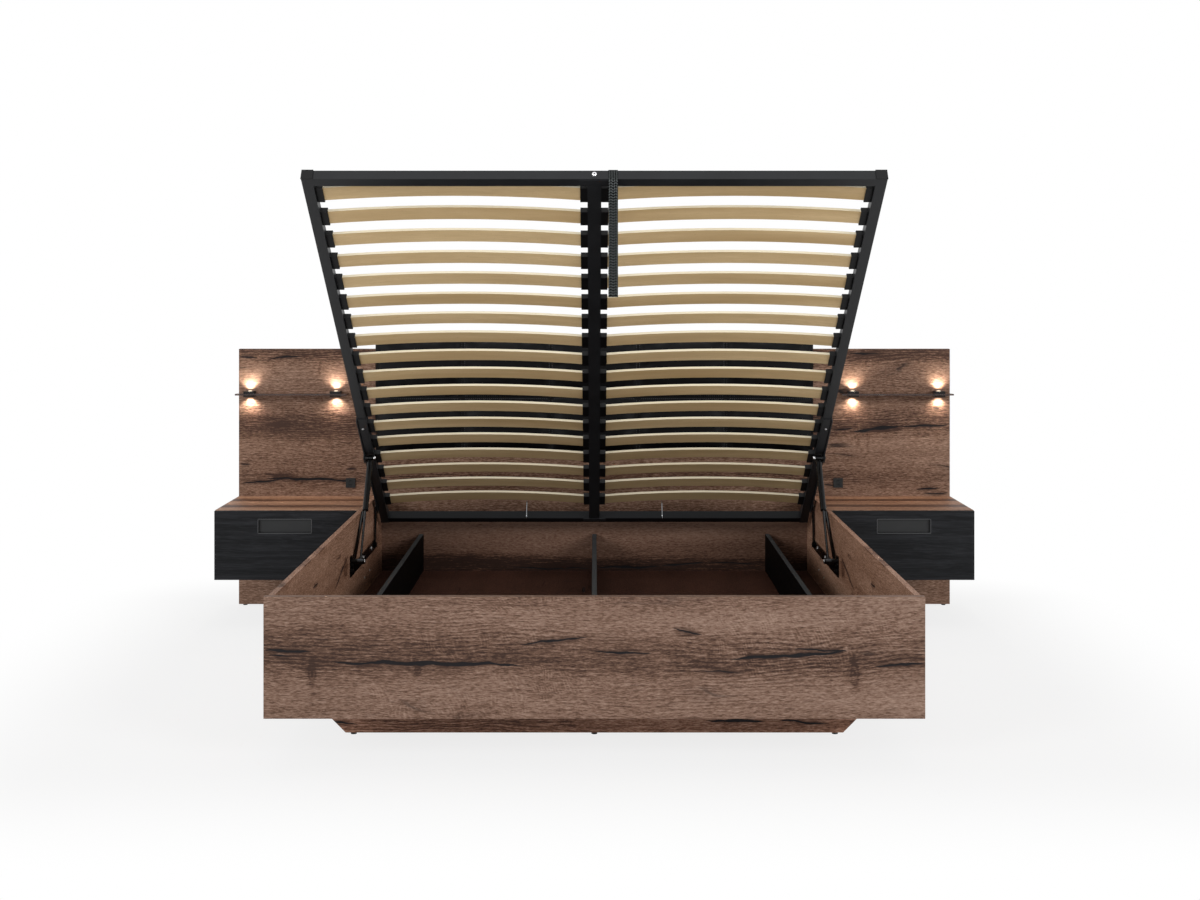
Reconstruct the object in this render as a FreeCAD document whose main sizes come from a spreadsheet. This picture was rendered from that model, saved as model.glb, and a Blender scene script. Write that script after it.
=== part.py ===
"""Storage bed with a lift-up slatted frame, a wide headboard and two hung drawer stands.

X runs across the bed, Y from the foot to the headboard, Z up from the floor. The origin is on
the floor under the middle of the bed. The slatted frame stands raised on its links and gas springs.
"""
import FreeCAD
import Part
import os
import re
import Sketcher
from FreeCAD import Placement, Rotation, Vector

SIZES = {
    # Storage box: side rails, front panel, rear panel, floor and lengthwise dividers
    "box_inner_length": 2028,
    "box_bottom": 128,
    "box_height": 307,
    "rail_thickness": 16,
    "panel_thickness": 22,
    "panel_overhang": 7.5,
    "rear_panel_height": 184,
    "rear_panel_thickness": 16,
    "floor_thickness": 8,
    "divider_thickness": 16,
    "divider_height": 139,
    "outer_bay_width": 144,
    # Plinth beams with ends cut on a slant, and the glides under them
    "plinth_setback": 314,
    "plinth_thickness": 18,
    "plinth_foot_width": 1350,
    "plinth_end_angle": 45,
    "glide_radius": 8,
    "glide_height": 5,
    "glide_inset": 21,
    "headboard_glide_inset": 22,
    # Headboard panel and its sewn cushion
    "headboard_width": 2711,
    "headboard_thickness": 28,
    "headboard_top": 978,
    "cushion_width": 1670,
    "cushion_bottom": 578,
    "cushion_height": 435,
    "cushion_crown": 50,
    "cushion_seam_depth": 33,
    "cushion_edge_depth": 24,
    "cushion_least_bulge": 1.5,
    "cushion_draw_in": 6,
    # Glass shelves, their lit clips and the charging sockets
    "shelf_near": 935,
    "shelf_depth": 62,
    "shelf_thickness": 6,
    "shelf_bottom": 805,
    "clip_width": 39,
    "clip_depth": 40,
    "clip_web": 6,
    "clip_jaw": 7.5,
    "clip_near": 983,
    "clip_far": 1310,
    "socket_side": 36,
    "socket_proud": 6,
    "socket_place": 929,
    "socket_height": 467.5,
    "slot_width": 14,
    "slot_height": 6,
    "slot_depth": 5,
    "slot_spread": 7,
    # Hung stands and their drawers
    "stand_gap": 8,
    "stand_depth": 395,
    "stand_bottom": 169,
    "stand_height": 248,
    "stand_board": 16,
    "drawer_front_thickness": 16,
    "drawer_face_gap": 0.5,
    "drawer_reveal": 1,
    "drawer_board": 12,
    "drawer_side_height": 176,
    "drawer_depth": 350,
    "drawer_bottom_thickness": 6,
    "drawer_bottom_rise": 8,
    "drawer_play": 0.4,
    "pull_width": 191,
    "pull_height": 51,
    "pull_depth": 13,
    "pull_wall": 2,
    "pull_top_drop": 30,
    "pull_offset": 9,
    # Slatted frame of steel tube
    "frame_width": 1590,
    "frame_length": 1990,
    "frame_side_gap": 14,
    "tube_width": 30,
    "tube_height": 30,
    "tube_wall": 1.5,
    "centre_tube_width": 38,
    "cap_thickness": 3,
    "cap_lip": 1,
    "screw_radius": 7,
    "screw_head": 3,
    "slat_width": 53,
    "slat_thickness": 8,
    "slat_camber": 17,
    "slat_seat": 12,
    "slat_first": 150,
    "slat_pitch": 103.5,
    "slat_foot_gap": 10,
    "slat_end_play": 2,
    "holder_depth": 20,
    "holder_wall": 3,
    "holder_play": 0.3,
    # Pull strap looped round the foot bar
    "strap_width": 26,
    "strap_thickness": 2,
    "strap_length": 330,
    "strap_offset": 51,
    "strap_play": 0.3,
    # Lift mechanism: raised and shut places of the frame, links and gas springs
    "lift_angle": 35.95,
    "head_gap_open": 134,
    "head_height_open": 338,
    "head_gap_shut": 19,
    "frame_height_shut": 350,
    "pivot_height": 270,
    "rear_pin_along": 109,
    "rear_pin_up": 3,
    "front_pin_along": 333,
    "front_pin_drop": 30,
    "spring_pin_along": 505,
    "spring_pin_drop": 15,
    "spring_foot_rise": 34,
    "spring_inset": 33,
    "base_thickness": 4,
    "base_half_height": 17,
    "base_margin": 18,
    "bolt_radius": 7,
    "bolt_head": 2.5,
    "link_thickness": 4,
    "link_half_width": 12,
    "link_gap": 0.5,
    "pin_radius": 6,
    "pin_clearance": 0.05,
    "pin_head_radius": 9,
    "pin_head": 3,
    "hanger_thickness": 3,
    "hanger_drop": 10,
    "hanger_rise": 26,
    "hanger_lead": 24,
    "hanger_reach": 740,
    "hanger_lip": 3,
    "spring_radius": 10,
    "spring_body": 190,
    "spring_neck": 14,
    "spring_neck_radius": 5,
    "spring_end": 8,
    "spring_eye_radius": 9,
    "spring_eye_width": 19,
    "rod_radius": 4,
    "rod_length": 212,
    "cut_overrun": 5,
}

PLACES = {
    # Planes of the box, from the floor and the middle of the bed
    "box_inner_width": "frame_width + 2 * frame_side_gap",
    "half_inner": "box_inner_width / 2",
    "half_outer": "half_inner + rail_thickness",
    "front_y": "-(panel_thickness + box_inner_length + headboard_thickness) / 2",
    "box_front_y": "front_y + panel_thickness",
    "headboard_y": "box_front_y + box_inner_length",
    "rear_panel_y": "headboard_y - rear_panel_thickness",
    "floor_top": "box_bottom + floor_thickness",
    "divider_length": "rear_panel_y - box_front_y",
    "divider_spread": "half_inner - outer_bay_width - divider_thickness / 2",
    "plinth_height": "box_bottom - glide_height",
    "plinth_top_half": "plinth_foot_width / 2 + plinth_height * tan(plinth_end_angle)",
    "glide_spread": "plinth_foot_width / 2 - glide_inset",
    "front_plinth_y": "front_y + plinth_setback + plinth_thickness / 2",
    "rear_plinth_y": "headboard_y - plinth_setback - plinth_thickness / 2",
    "headboard_half": "headboard_width / 2",
    # Shelf clips
    "clip_y": "headboard_y - clip_depth",
    "shelf_y": "headboard_y - clip_web - shelf_depth",
    "clip_bottom": "shelf_bottom - clip_jaw",
    "clip_height": "shelf_thickness + 2 * clip_jaw",
    # Hung stands
    "stand_near": "half_outer + stand_gap",
    "stand_top": "stand_bottom + stand_height",
    "stand_front_y": "headboard_y - stand_depth",
    "drawer_box_y": "stand_front_y + drawer_front_thickness",
    "carcass_y": "drawer_box_y + drawer_face_gap",
    "carcass_depth": "headboard_y - carcass_y",
    "drawer_bottom": "stand_bottom + stand_board + drawer_play",
    "drawer_floor": "drawer_bottom + drawer_bottom_rise",
    "drawer_near": "stand_near + stand_board + drawer_play",
    "drawer_far": "headboard_half - stand_board - drawer_play",
    "pull_middle": "(stand_near + headboard_half) / 2 + pull_offset",
    "pull_bottom": "stand_top - pull_top_drop - pull_height",
    # Slatted frame, measured from its head end and its underside
    "frame_half": "frame_width / 2",
    "tube_inner": "frame_half - tube_width",
    "bar_length": "2 * tube_inner",
    "centre_half": "centre_tube_width / 2",
    "centre_tube_length": "frame_length - 2 * tube_width",
    "slat_run": "frame_length - tube_width - slat_foot_gap - slat_width / 2 - slat_first",
    "slat_count": "floor(slat_run / slat_pitch) + 1",
    "head_open_y": "headboard_y - head_gap_open",
    "head_shut_y": "headboard_y - head_gap_shut",
    # Rear link: its frame pin raised and shut, and the base pivot as far from both
    "rear_open_y": "head_open_y - cos(lift_angle) * rear_pin_along + sin(lift_angle) * rear_pin_up",
    "rear_open_z": "head_height_open + sin(lift_angle) * rear_pin_along + cos(lift_angle) * rear_pin_up",
    "rear_shut_y": "head_shut_y - rear_pin_along",
    "rear_shut_z": "frame_height_shut + rear_pin_up",
    "rear_pivot_y": "(rear_open_y ^ 2 - rear_shut_y ^ 2 + (pivot_height - rear_open_z) ^ 2"
                    " - (pivot_height - rear_shut_z) ^ 2) / (2 * (rear_open_y - rear_shut_y))",
    "rear_link_length": "sqrt((rear_open_y - rear_pivot_y) ^ 2 + (rear_open_z - pivot_height) ^ 2)",
    "rear_link_angle": "atan2(rear_open_z - pivot_height; rear_open_y - rear_pivot_y)",
    # Front link, the same way
    "front_open_y": "head_open_y - cos(lift_angle) * front_pin_along - sin(lift_angle) * front_pin_drop",
    "front_open_z": "head_height_open + sin(lift_angle) * front_pin_along - cos(lift_angle) * front_pin_drop",
    "front_shut_y": "head_shut_y - front_pin_along",
    "front_shut_z": "frame_height_shut - front_pin_drop",
    "front_pivot_y": "(front_open_y ^ 2 - front_shut_y ^ 2 + (pivot_height - front_open_z) ^ 2"
                     " - (pivot_height - front_shut_z) ^ 2) / (2 * (front_open_y - front_shut_y))",
    "front_link_length": "sqrt((front_open_y - front_pivot_y) ^ 2 + (front_open_z - pivot_height) ^ 2)",
    "front_link_angle": "atan2(front_open_z - pivot_height; front_open_y - front_pivot_y)",
    # Gas spring between the base plate and the frame hanger
    "spring_foot_z": "pivot_height + spring_foot_rise",
    "spring_open_y": "head_open_y - cos(lift_angle) * spring_pin_along - sin(lift_angle) * spring_pin_drop",
    "spring_open_z": "head_height_open + sin(lift_angle) * spring_pin_along"
                     " - cos(lift_angle) * spring_pin_drop",
    "spring_length": "sqrt((spring_open_y - front_pivot_y) ^ 2 + (spring_open_z - spring_foot_z) ^ 2)",
    "spring_angle": "atan2(spring_open_z - spring_foot_z; spring_open_y - front_pivot_y)",
    "spring_middle": "half_inner - spring_inset",
    # Layers of the mechanism between rail and frame, from the rail inwards
    "base_face": "half_inner - base_thickness",
    "link_far": "base_face - link_gap",
    "link_near": "link_far - link_thickness",
    "pin_head_far": "link_near - link_gap",
    "eye_near": "spring_middle - spring_eye_width / 2",
    "eye_far": "spring_middle + spring_eye_width / 2",
    "hanger_far": "frame_half + hanger_thickness",
}

CUSHION_COLUMNS = 5
CUSHION_ROWS = 2
CUSHION_LEVEL_SHARES = (0, 0.08, 0.25, 0.5, 0.75, 0.92)
CUSHION_SWELL_POWER = 2.6
BASE_BOLT_SHARES = (0.5, 0.85)
SIDES = ("left", "right")

doc = FreeCAD.newDocument("storage_bed")
parts = []


def formula(text):
    """Expression text with each size and place tied to its sheet."""
    def tie(word):
        name = word.group(0)
        if name in SIZES:
            return f"Sizes.{name}"
        if name in PLACES:
            return f"Places.{name}"
        return name
    return re.sub(r"[A-Za-z_]\w*", tie, text)


def make_sheet(name, cells):
    """Sheet with one named cell in each row."""
    sheet = doc.addObject("Spreadsheet::Sheet", name)
    for row, (alias, content) in enumerate(cells.items(), start=1):
        sheet.set(f"A{row}", alias)
        sheet.set(f"B{row}", str(content))
        sheet.setAlias(f"B{row}", alias)
    return sheet


sizes = make_sheet("Sizes", SIZES)
places = make_sheet("Places", {name: "=" + formula(text) for name, text in PLACES.items()})
doc.recompute()


def value(name):
    """Number held by a size or a place."""
    sheet = sizes if name in SIZES else places
    return float(getattr(sheet, name))


def bind(item, **properties):
    """Tie properties of an object to sizes and places."""
    for name, text in properties.items():
        item.setExpression(name, formula(text))


def place(item, low):
    """Tie an object's base point to sizes and places."""
    for axis, text in zip("xyz", low):
        item.setExpression(f".Placement.Base.{axis}", formula(text))
    return item


def tilt(item, low, angle, axis):
    """Tie an object's base point, and its turn about an axis, to sizes and places."""
    item.Placement = Placement(Vector(), Rotation(axis, 1))
    item.setExpression(".Placement.Rotation.Angle", formula(angle))
    return place(item, low)


def mirror_low(side, near, far):
    """Lower X of a span that lies between two distances from the middle plane."""
    return near if side == "right" else f"-({far})"


def part(item, label):
    """Name a finished sub-part and list it for writing."""
    item.Label = label
    parts.append(item)
    return item


def box(name, low, size):
    """Board with its low corner and its three sizes."""
    item = doc.addObject("Part::Box", name)
    bind(item, Length=size[0], Width=size[1], Height=size[2])
    return place(item, low)


def side_box(name, side, span, low, size):
    """Board on one side of the bed, between two distances from the middle plane."""
    near, far = span
    return box(name, (mirror_low(side, near, far), *low), (f"({far}) - ({near})", *size))


def cross_bar(name, low_x, length, y, z, radius):
    """Round bar along X."""
    item = doc.addObject("Part::Cylinder", name)
    bind(item, Radius=radius, Height=length)
    item.Placement.Rotation = Rotation(Vector(0, 1, 0), 90)
    return place(item, (low_x, y, z))


def side_bar(name, side, span, y, z, radius):
    """Round bar along X on one side of the bed."""
    near, far = span
    return cross_bar(name, mirror_low(side, near, far), f"({far}) - ({near})", y, z, radius)


def long_bar(name, y, length, radius):
    """Round bar along Y, on the local axis."""
    item = doc.addObject("Part::Cylinder", name)
    bind(item, Radius=radius, Height=length)
    item.Placement.Rotation = Rotation(Vector(1, 0, 0), -90)
    return place(item, ("0", y, "0"))


def fuse(name, items):
    """One solid made of several that meet."""
    item = doc.addObject("Part::MultiFuse", name)
    item.Shapes = items
    return item


def cut(name, base, tool):
    """Solid with another taken out of it."""
    item = doc.addObject("Part::Cut", name)
    item.Base = base
    item.Tool = tool
    return item


def group(name, items):
    """Separate solids kept as one sub-part."""
    item = doc.addObject("Part::Compound", name)
    item.Links = items
    return item


def raise_frame(item):
    """Put a piece drawn on the level frame at the raised place of the frame's head end."""
    return tilt(item, ("0", "head_open_y", "head_height_open"), "lift_angle", Vector(-1, 0, 0))


def outline_pad(label, points, thickness):
    """Board of one thickness with a straight-sided outline in the XZ plane."""
    body = doc.addObject("PartDesign::Body", label)
    sketch = body.newObject("Sketcher::SketchObject", f"{label}_outline")
    plane = next(face for face in body.Origin.OriginFeatures if face.Role == "XZ_Plane")
    sketch.AttachmentSupport = [(plane, "")]
    sketch.MapMode = "FlatFace"
    start = [Vector(*(float(sizes.evalExpression(formula(text))) for text in point)) for point in points]
    for here, there in zip(start, start[1:] + start[:1]):
        sketch.addGeometry(Part.LineSegment(here, there))
    for index, point in enumerate(points):
        after = (index + 1) % len(points)
        sketch.addConstraint(Sketcher.Constraint("Coincident", index, 2, after, 1))
        for kind, text, now in zip(("DistanceX", "DistanceY"), point, start[index]):
            rule = sketch.addConstraint(Sketcher.Constraint(kind, -1, 1, index, 1, now))
            sketch.setExpression(f"Constraints[{rule}]", formula(text))
    pad = body.newObject("PartDesign::Pad", f"{label}_pad")
    pad.Profile = sketch
    bind(pad, Length=thickness)
    pad.Midplane = True
    return body


def build_box():
    """Front panel, rails, rear panel, floor and dividers."""
    panel_half = "half_outer + panel_overhang"
    part(box("front_panel", (f"-({panel_half})", "front_y", "box_bottom"),
             (f"2 * ({panel_half})", "panel_thickness", "box_height")), "front_panel")
    for side in SIDES:
        part(side_box(f"{side}_rail", side, ("half_inner", "half_outer"), ("box_front_y", "box_bottom"),
                      ("box_inner_length", "box_height")), f"{side}_rail")
        near = "divider_spread - divider_thickness / 2"
        far = "divider_spread + divider_thickness / 2"
        part(side_box(f"{side}_divider", side, (near, far), ("box_front_y", "floor_top"),
                      ("divider_length", "divider_height")), f"{side}_divider")
    part(box("rear_panel", ("-half_inner", "rear_panel_y", "floor_top"),
             ("box_inner_width", "rear_panel_thickness", "rear_panel_height")), "rear_panel")
    halves = [side_box(f"{side}_floor_half", side, ("0", "half_inner"), ("box_front_y", "box_bottom"),
                       ("box_inner_length", "floor_thickness")) for side in SIDES]
    part(group("floor_panels", halves), "floor_panels")
    part(box("centre_divider", ("-divider_thickness / 2", "box_front_y", "floor_top"),
             ("divider_thickness", "divider_length", "divider_height")), "centre_divider")


def build_plinth():
    """Two beams that stand under the box, and the glides on the floor."""
    foot_half = "plinth_foot_width / 2"
    points = ((f"-{foot_half}", "glide_height"), (foot_half, "glide_height"),
              ("plinth_top_half", "box_bottom"), ("-plinth_top_half", "box_bottom"))
    for end in ("front", "rear"):
        beam = outline_pad(f"{end}_plinth_beam", points, "plinth_thickness")
        part(place(beam, ("0", f"{end}_plinth_y", "0")), f"{end}_plinth_beam")
    beam_spots = [(x, f"{end}_plinth_y") for end in ("front", "rear")
                  for x in ("-glide_spread", "0", "glide_spread")]
    board_x = "headboard_half - headboard_glide_inset"
    board_y = "headboard_y + headboard_thickness / 2"
    spots = beam_spots + [(f"-({board_x})", board_y), (board_x, board_y)]
    glides = []
    for index, (x, y) in enumerate(spots):
        glide = doc.addObject("Part::Cylinder", f"glide_{index}")
        bind(glide, Radius="glide_radius", Height="glide_height")
        glides.append(place(glide, (x, y, "0")))
    part(group("floor_glides", glides), "floor_glides")


def cushion_shape():
    """Sewn back cushion: level sections of five arcs each, crowned between the seams."""
    width = value("cushion_width")
    height = value("cushion_height")
    levels = [(row + share) / CUSHION_ROWS for row in range(CUSHION_ROWS) for share in CUSHION_LEVEL_SHARES]
    wires = []
    for level in levels + [1]:
        row_share = level * CUSHION_ROWS % 1
        swell = 1 - abs(2 * row_share - 1) ** CUSHION_SWELL_POWER
        edge_depth = value("cushion_edge_depth")
        seam = edge_depth + swell * (value("cushion_seam_depth") - edge_depth)
        bulge = max(swell * (value("cushion_crown") - seam), value("cushion_least_bulge"))
        half = width / 2 - value("cushion_draw_in") * (1 - (2 * level - 1) ** 2)
        step = 2 * half / CUSHION_COLUMNS
        z = level * height
        ends = [Vector(half - step * column, -seam, z) for column in range(CUSHION_COLUMNS + 1)]
        edges = [Part.LineSegment(Vector(-half, 0, z), Vector(half, 0, z)),
                 Part.LineSegment(Vector(half, 0, z), ends[0])]
        for here, there in zip(ends, ends[1:]):
            edges.append(Part.Arc(here, (here + there) / 2 - Vector(0, bulge, 0), there))
        edges.append(Part.LineSegment(ends[-1], Vector(-half, 0, z)))
        wires.append(Part.Wire([edge.toShape() for edge in edges]))
    return Part.makeLoft(wires, True, True)


def build_headboard():
    """Headboard panel, cushion, glass shelves with lit clips, and charging sockets."""
    part(box("headboard_panel", ("-headboard_half", "headboard_y", "glide_height"),
             ("headboard_width", "headboard_thickness", "headboard_top - glide_height")), "headboard_panel")
    cushion = doc.addObject("Part::Feature", "headboard_cushion")
    cushion.Shape = cushion_shape()
    part(place(cushion, ("0", "headboard_y", "cushion_bottom")), "headboard_cushion")
    clips = []
    sockets = []
    for side in SIDES:
        part(side_box(f"{side}_glass_shelf", side, ("shelf_near", "headboard_half"),
                      ("shelf_y", "shelf_bottom"), ("shelf_depth", "shelf_thickness")), f"{side}_glass_shelf")
        for spot in ("near", "far"):
            span = (f"clip_{spot} - clip_width / 2", f"clip_{spot} + clip_width / 2")
            block = side_box(f"{side}_{spot}_clip_block", side, span, ("clip_y", "clip_bottom"),
                             ("clip_depth", "clip_height"))
            slit = side_box(f"{side}_{spot}_clip_slit", side,
                            (f"{span[0]} - cut_overrun", f"{span[1]} + cut_overrun"),
                            ("clip_y - cut_overrun", "shelf_bottom"),
                            ("clip_depth - clip_web + cut_overrun", "shelf_thickness"))
            clips.append(cut(f"{side}_{spot}_clip", block, slit))
        span = ("socket_place - socket_side / 2", "socket_place + socket_side / 2")
        plate = side_box(f"{side}_socket_plate", side, span,
                         ("headboard_y - socket_proud", "socket_height - socket_side / 2"),
                         ("socket_proud", "socket_side"))
        slots = []
        for sign in "-+":
            low = ("headboard_y - socket_proud - cut_overrun",
                   f"socket_height {sign} slot_spread - slot_height / 2")
            slots.append(side_box(f"{side}_socket_slot", side,
                                  ("socket_place - slot_width / 2", "socket_place + slot_width / 2"), low,
                                  ("slot_depth + cut_overrun", "slot_height")))
        sockets.append(cut(f"{side}_socket", plate, fuse(f"{side}_socket_slots", slots)))
    part(group("shelf_lamps", clips), "shelf_lamps")
    part(group("usb_modules", sockets), "usb_modules")


def build_stand(side):
    """Hung stand of four boards beside the box."""
    span = ("stand_near", "headboard_half")
    part(side_box(f"{side}_stand_top", side, span, ("carcass_y", "stand_top - stand_board"),
                  ("carcass_depth", "stand_board")), f"{side}_stand_top")
    wall = ("carcass_depth", "stand_height - stand_board")
    part(side_box(f"{side}_stand_inner_side", side, ("stand_near", "stand_near + stand_board"),
                  ("carcass_y", "stand_bottom"), wall), f"{side}_stand_inner_side")
    part(side_box(f"{side}_stand_outer_side", side, ("headboard_half - stand_board", "headboard_half"),
                  ("carcass_y", "stand_bottom"), wall), f"{side}_stand_outer_side")
    part(side_box(f"{side}_stand_bottom", side, ("stand_near + stand_board", "headboard_half - stand_board"),
                  ("carcass_y", "stand_bottom"), ("carcass_depth", "stand_board")), f"{side}_stand_bottom")


def build_drawer(side):
    """Drawer: front with a let-in pull, two sides, back and bottom."""
    name = f"{side}_drawer"
    board = side_box(f"{name}_face", side, ("stand_near + drawer_reveal", "headboard_half - drawer_reveal"),
                     ("stand_front_y", "stand_bottom + drawer_reveal"),
                     ("drawer_front_thickness", "stand_height - 2 * drawer_reveal"))
    hole_span = ("pull_middle - pull_width / 2", "pull_middle + pull_width / 2")
    hole = side_box(f"{name}_pull_hole", side, hole_span, ("stand_front_y - cut_overrun", "pull_bottom"),
                    ("pull_depth + cut_overrun", "pull_height"))
    part(cut(f"{name}_front", board, hole), f"{name}_front")
    dish = side_box(f"{name}_dish", side, hole_span, ("stand_front_y", "pull_bottom"),
                    ("pull_depth", "pull_height"))
    well = side_box(f"{name}_well", side, (f"{hole_span[0]} + pull_wall", f"{hole_span[1]} - pull_wall"),
                    ("stand_front_y - cut_overrun", "pull_bottom + pull_wall"),
                    ("pull_depth - pull_wall + cut_overrun", "pull_height - 2 * pull_wall"))
    part(cut(f"{name}_pull", dish, well), f"{name}_pull")
    wall = ("drawer_depth", "drawer_side_height")
    low = ("drawer_box_y", "drawer_bottom")
    walls = [side_box(f"{name}_near_side", side, ("drawer_near", "drawer_near + drawer_board"), low, wall),
             side_box(f"{name}_far_side", side, ("drawer_far - drawer_board", "drawer_far"), low, wall)]
    part(group(f"{name}_sides", walls), f"{name}_sides")
    inside = ("drawer_near + drawer_board", "drawer_far - drawer_board")
    part(side_box(f"{name}_back", side, inside,
                  ("drawer_box_y + drawer_depth - drawer_board", "drawer_bottom"),
                  ("drawer_board", "drawer_side_height")), f"{name}_back")
    part(side_box(f"{name}_bottom", side, inside, ("drawer_box_y", "drawer_floor"),
                  ("drawer_depth - drawer_board", "drawer_bottom_thickness")), f"{name}_bottom")


def tube(name, low, size, axis):
    """Square tube with an open bore along one axis."""
    wall = "tube_wall"
    bore_low = [f"{text} + {wall}" for text in low]
    bore_size = [f"({text}) - 2 * {wall}" for text in size]
    bore_low[axis] = f"{low[axis]} - cut_overrun"
    bore_size[axis] = f"({size[axis]}) + 2 * cut_overrun"
    return cut(name, box(f"{name}_skin", low, size), box(f"{name}_bore", bore_low, bore_size))


def build_frame_tubes():
    """Side tubes, head and foot bars, centre tube, end caps and the foot screw."""
    caps = []
    for side in SIDES:
        low_x = mirror_low(side, "tube_inner", "frame_half")
        part(raise_frame(tube(f"{side}_side_tube", (low_x, "-frame_length", "0"),
                              ("tube_width", "frame_length", "tube_height"), 1)), f"{side}_side_tube")
        for end, y in (("foot", "-frame_length - cap_thickness"), ("head", "0")):
            caps.append(box(f"{side}_{end}_cap", (f"{low_x} - cap_lip", y, "-cap_lip"),
                            ("tube_width + 2 * cap_lip", "cap_thickness", "tube_height + 2 * cap_lip")))
    for end, y in (("foot", "-frame_length"), ("head", "-tube_width")):
        part(raise_frame(tube(f"{end}_bar", ("-tube_inner", y, "0"),
                              ("bar_length", "tube_width", "tube_height"), 0)), f"{end}_bar")
    part(raise_frame(tube("centre_tube", ("-centre_half", "tube_width - frame_length", "0"),
                          ("centre_tube_width", "centre_tube_length", "tube_height"), 1)), "centre_tube")
    part(raise_frame(group("tube_end_caps", caps)), "tube_end_caps")
    head = long_bar("foot_screw_head", "-frame_length - screw_head", "screw_head", "screw_radius")
    head.setExpression(".Placement.Base.z", formula("tube_height / 2"))
    part(raise_frame(group("foot_bar_screw", [head])), "foot_bar_screw")


def slat_shape(side):
    """Row of bowed slats on one side: strips between two arcs, one at each pitch."""
    sign = 1 if side == "right" else -1
    margin = value("holder_wall") + value("slat_end_play")
    near = sign * (value("centre_half") + margin)
    far = sign * (value("tube_inner") - margin)
    seat = value("slat_seat")
    bow = value("slat_camber")
    top = seat + value("slat_thickness")
    y = -value("slat_first") - value("slat_width") / 2

    def arc(low):
        """Bowed edge whose ends are at one height."""
        return Part.Arc(Vector(near, y, low), Vector((near + far) / 2, y, low + bow), Vector(far, y, low))

    edges = [arc(seat).toShape(), Part.LineSegment(Vector(far, y, seat), Vector(far, y, top)).toShape(),
             arc(top).toShape(), Part.LineSegment(Vector(near, y, top), Vector(near, y, seat)).toShape()]
    face = Part.Face(Part.Wire(Part.__sortEdges__(edges)))
    return slat_row(face.extrude(Vector(0, value("slat_width"), 0)))


def slat_row(shape):
    """Copies of a shape, one for each slat."""
    pitch = Vector(0, -value("slat_pitch"), 0)
    return Part.makeCompound([shape.translated(pitch * step) for step in range(int(value("slat_count")))])


def holder_shape(face_x, away):
    """Plastic slat holders on a tube face: blocks with a pocket for the slat's end."""
    depth = value("holder_depth")
    wall = value("holder_wall")
    play = value("holder_play")
    run = value("tube_inner") - value("centre_half") - 2 * (wall + value("slat_end_play"))
    rise = 4 * value("slat_camber") * depth / run
    pocket_width = value("slat_width") + 2 * play
    pocket_height = value("slat_thickness") + rise + 2 * play
    pocket_low = value("slat_seat") - play
    y = -value("slat_first")
    low_x = min(face_x, face_x + away * depth)
    block = Part.makeBox(depth, pocket_width + 2 * wall, pocket_height + 2 * wall,
                         Vector(low_x, y - pocket_width / 2 - wall, pocket_low - wall))
    pocket_x = low_x + wall if away > 0 else low_x - wall
    pocket = Part.makeBox(depth, pocket_width, pocket_height,
                          Vector(pocket_x, y - pocket_width / 2, pocket_low))
    return slat_row(block.cut(pocket))


def build_slats():
    """Two rows of slats and the holders at their ends."""
    inner = value("tube_inner")
    centre = value("centre_half")
    shapes = {f"{side}_slats": slat_shape(side) for side in SIDES}
    shapes["side_slat_holders"] = Part.makeCompound([holder_shape(inner, -1), holder_shape(-inner, 1)])
    shapes["centre_slat_holders"] = Part.makeCompound([holder_shape(centre, 1), holder_shape(-centre, -1)])
    for label, shape in shapes.items():
        row = doc.addObject("Part::Feature", label)
        row.Shape = shape
        part(raise_frame(row), label)


def build_strap():
    """Webbing strap: a loop round the foot bar and a tail that hangs from its lower front edge."""
    low_x = "strap_offset - strap_width / 2"
    rim = "strap_play + strap_thickness"
    loop = box("strap_loop_skin", (low_x, f"-frame_length - {rim}", f"-({rim})"),
               ("strap_width", f"tube_width + 2 * ({rim})", f"tube_height + 2 * ({rim})"))
    eye = box("strap_loop_eye", (f"{low_x} - cut_overrun", "-frame_length - strap_play", "-strap_play"),
              ("strap_width + 2 * cut_overrun", "tube_width + 2 * strap_play",
               "tube_height + 2 * strap_play"))
    band = raise_frame(cut("strap_loop", loop, eye))
    edge_y = f"head_open_y - cos(lift_angle) * (frame_length + {rim}) - sin(lift_angle) * ({rim})"
    edge_z = f"head_height_open + sin(lift_angle) * (frame_length + {rim}) - cos(lift_angle) * ({rim})"
    tail = box("strap_tail", (low_x, edge_y, f"{edge_z} - strap_length"),
               ("strap_width", "2 * strap_thickness", "strap_length - strap_thickness * sin(lift_angle)"))
    part(fuse("pull_strap", [band, tail]), "pull_strap")


def link(label, side, pivot_y, length, angle):
    """Flat link with an eye at each end, turned to its raised angle about its base pivot."""
    bar = box(f"{label}_bar", ("0", "0", "-link_half_width"),
              ("link_thickness", length, "2 * link_half_width"))
    eyes = [cross_bar(f"{label}_eye", "0", "link_thickness", y, "0", "link_half_width")
            for y in ("0", length)]
    holes = [cross_bar(f"{label}_hole", "-cut_overrun", "link_thickness + 2 * cut_overrun", y, "0",
                       "pin_radius + pin_clearance") for y in ("0", length)]
    item = cut(label, fuse(f"{label}_plate", [bar, *eyes]), fuse(f"{label}_holes", holes))
    low = (mirror_low(side, "link_near", "link_far"), pivot_y, "pivot_height")
    return tilt(item, low, angle, Vector(1, 0, 0))


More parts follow.
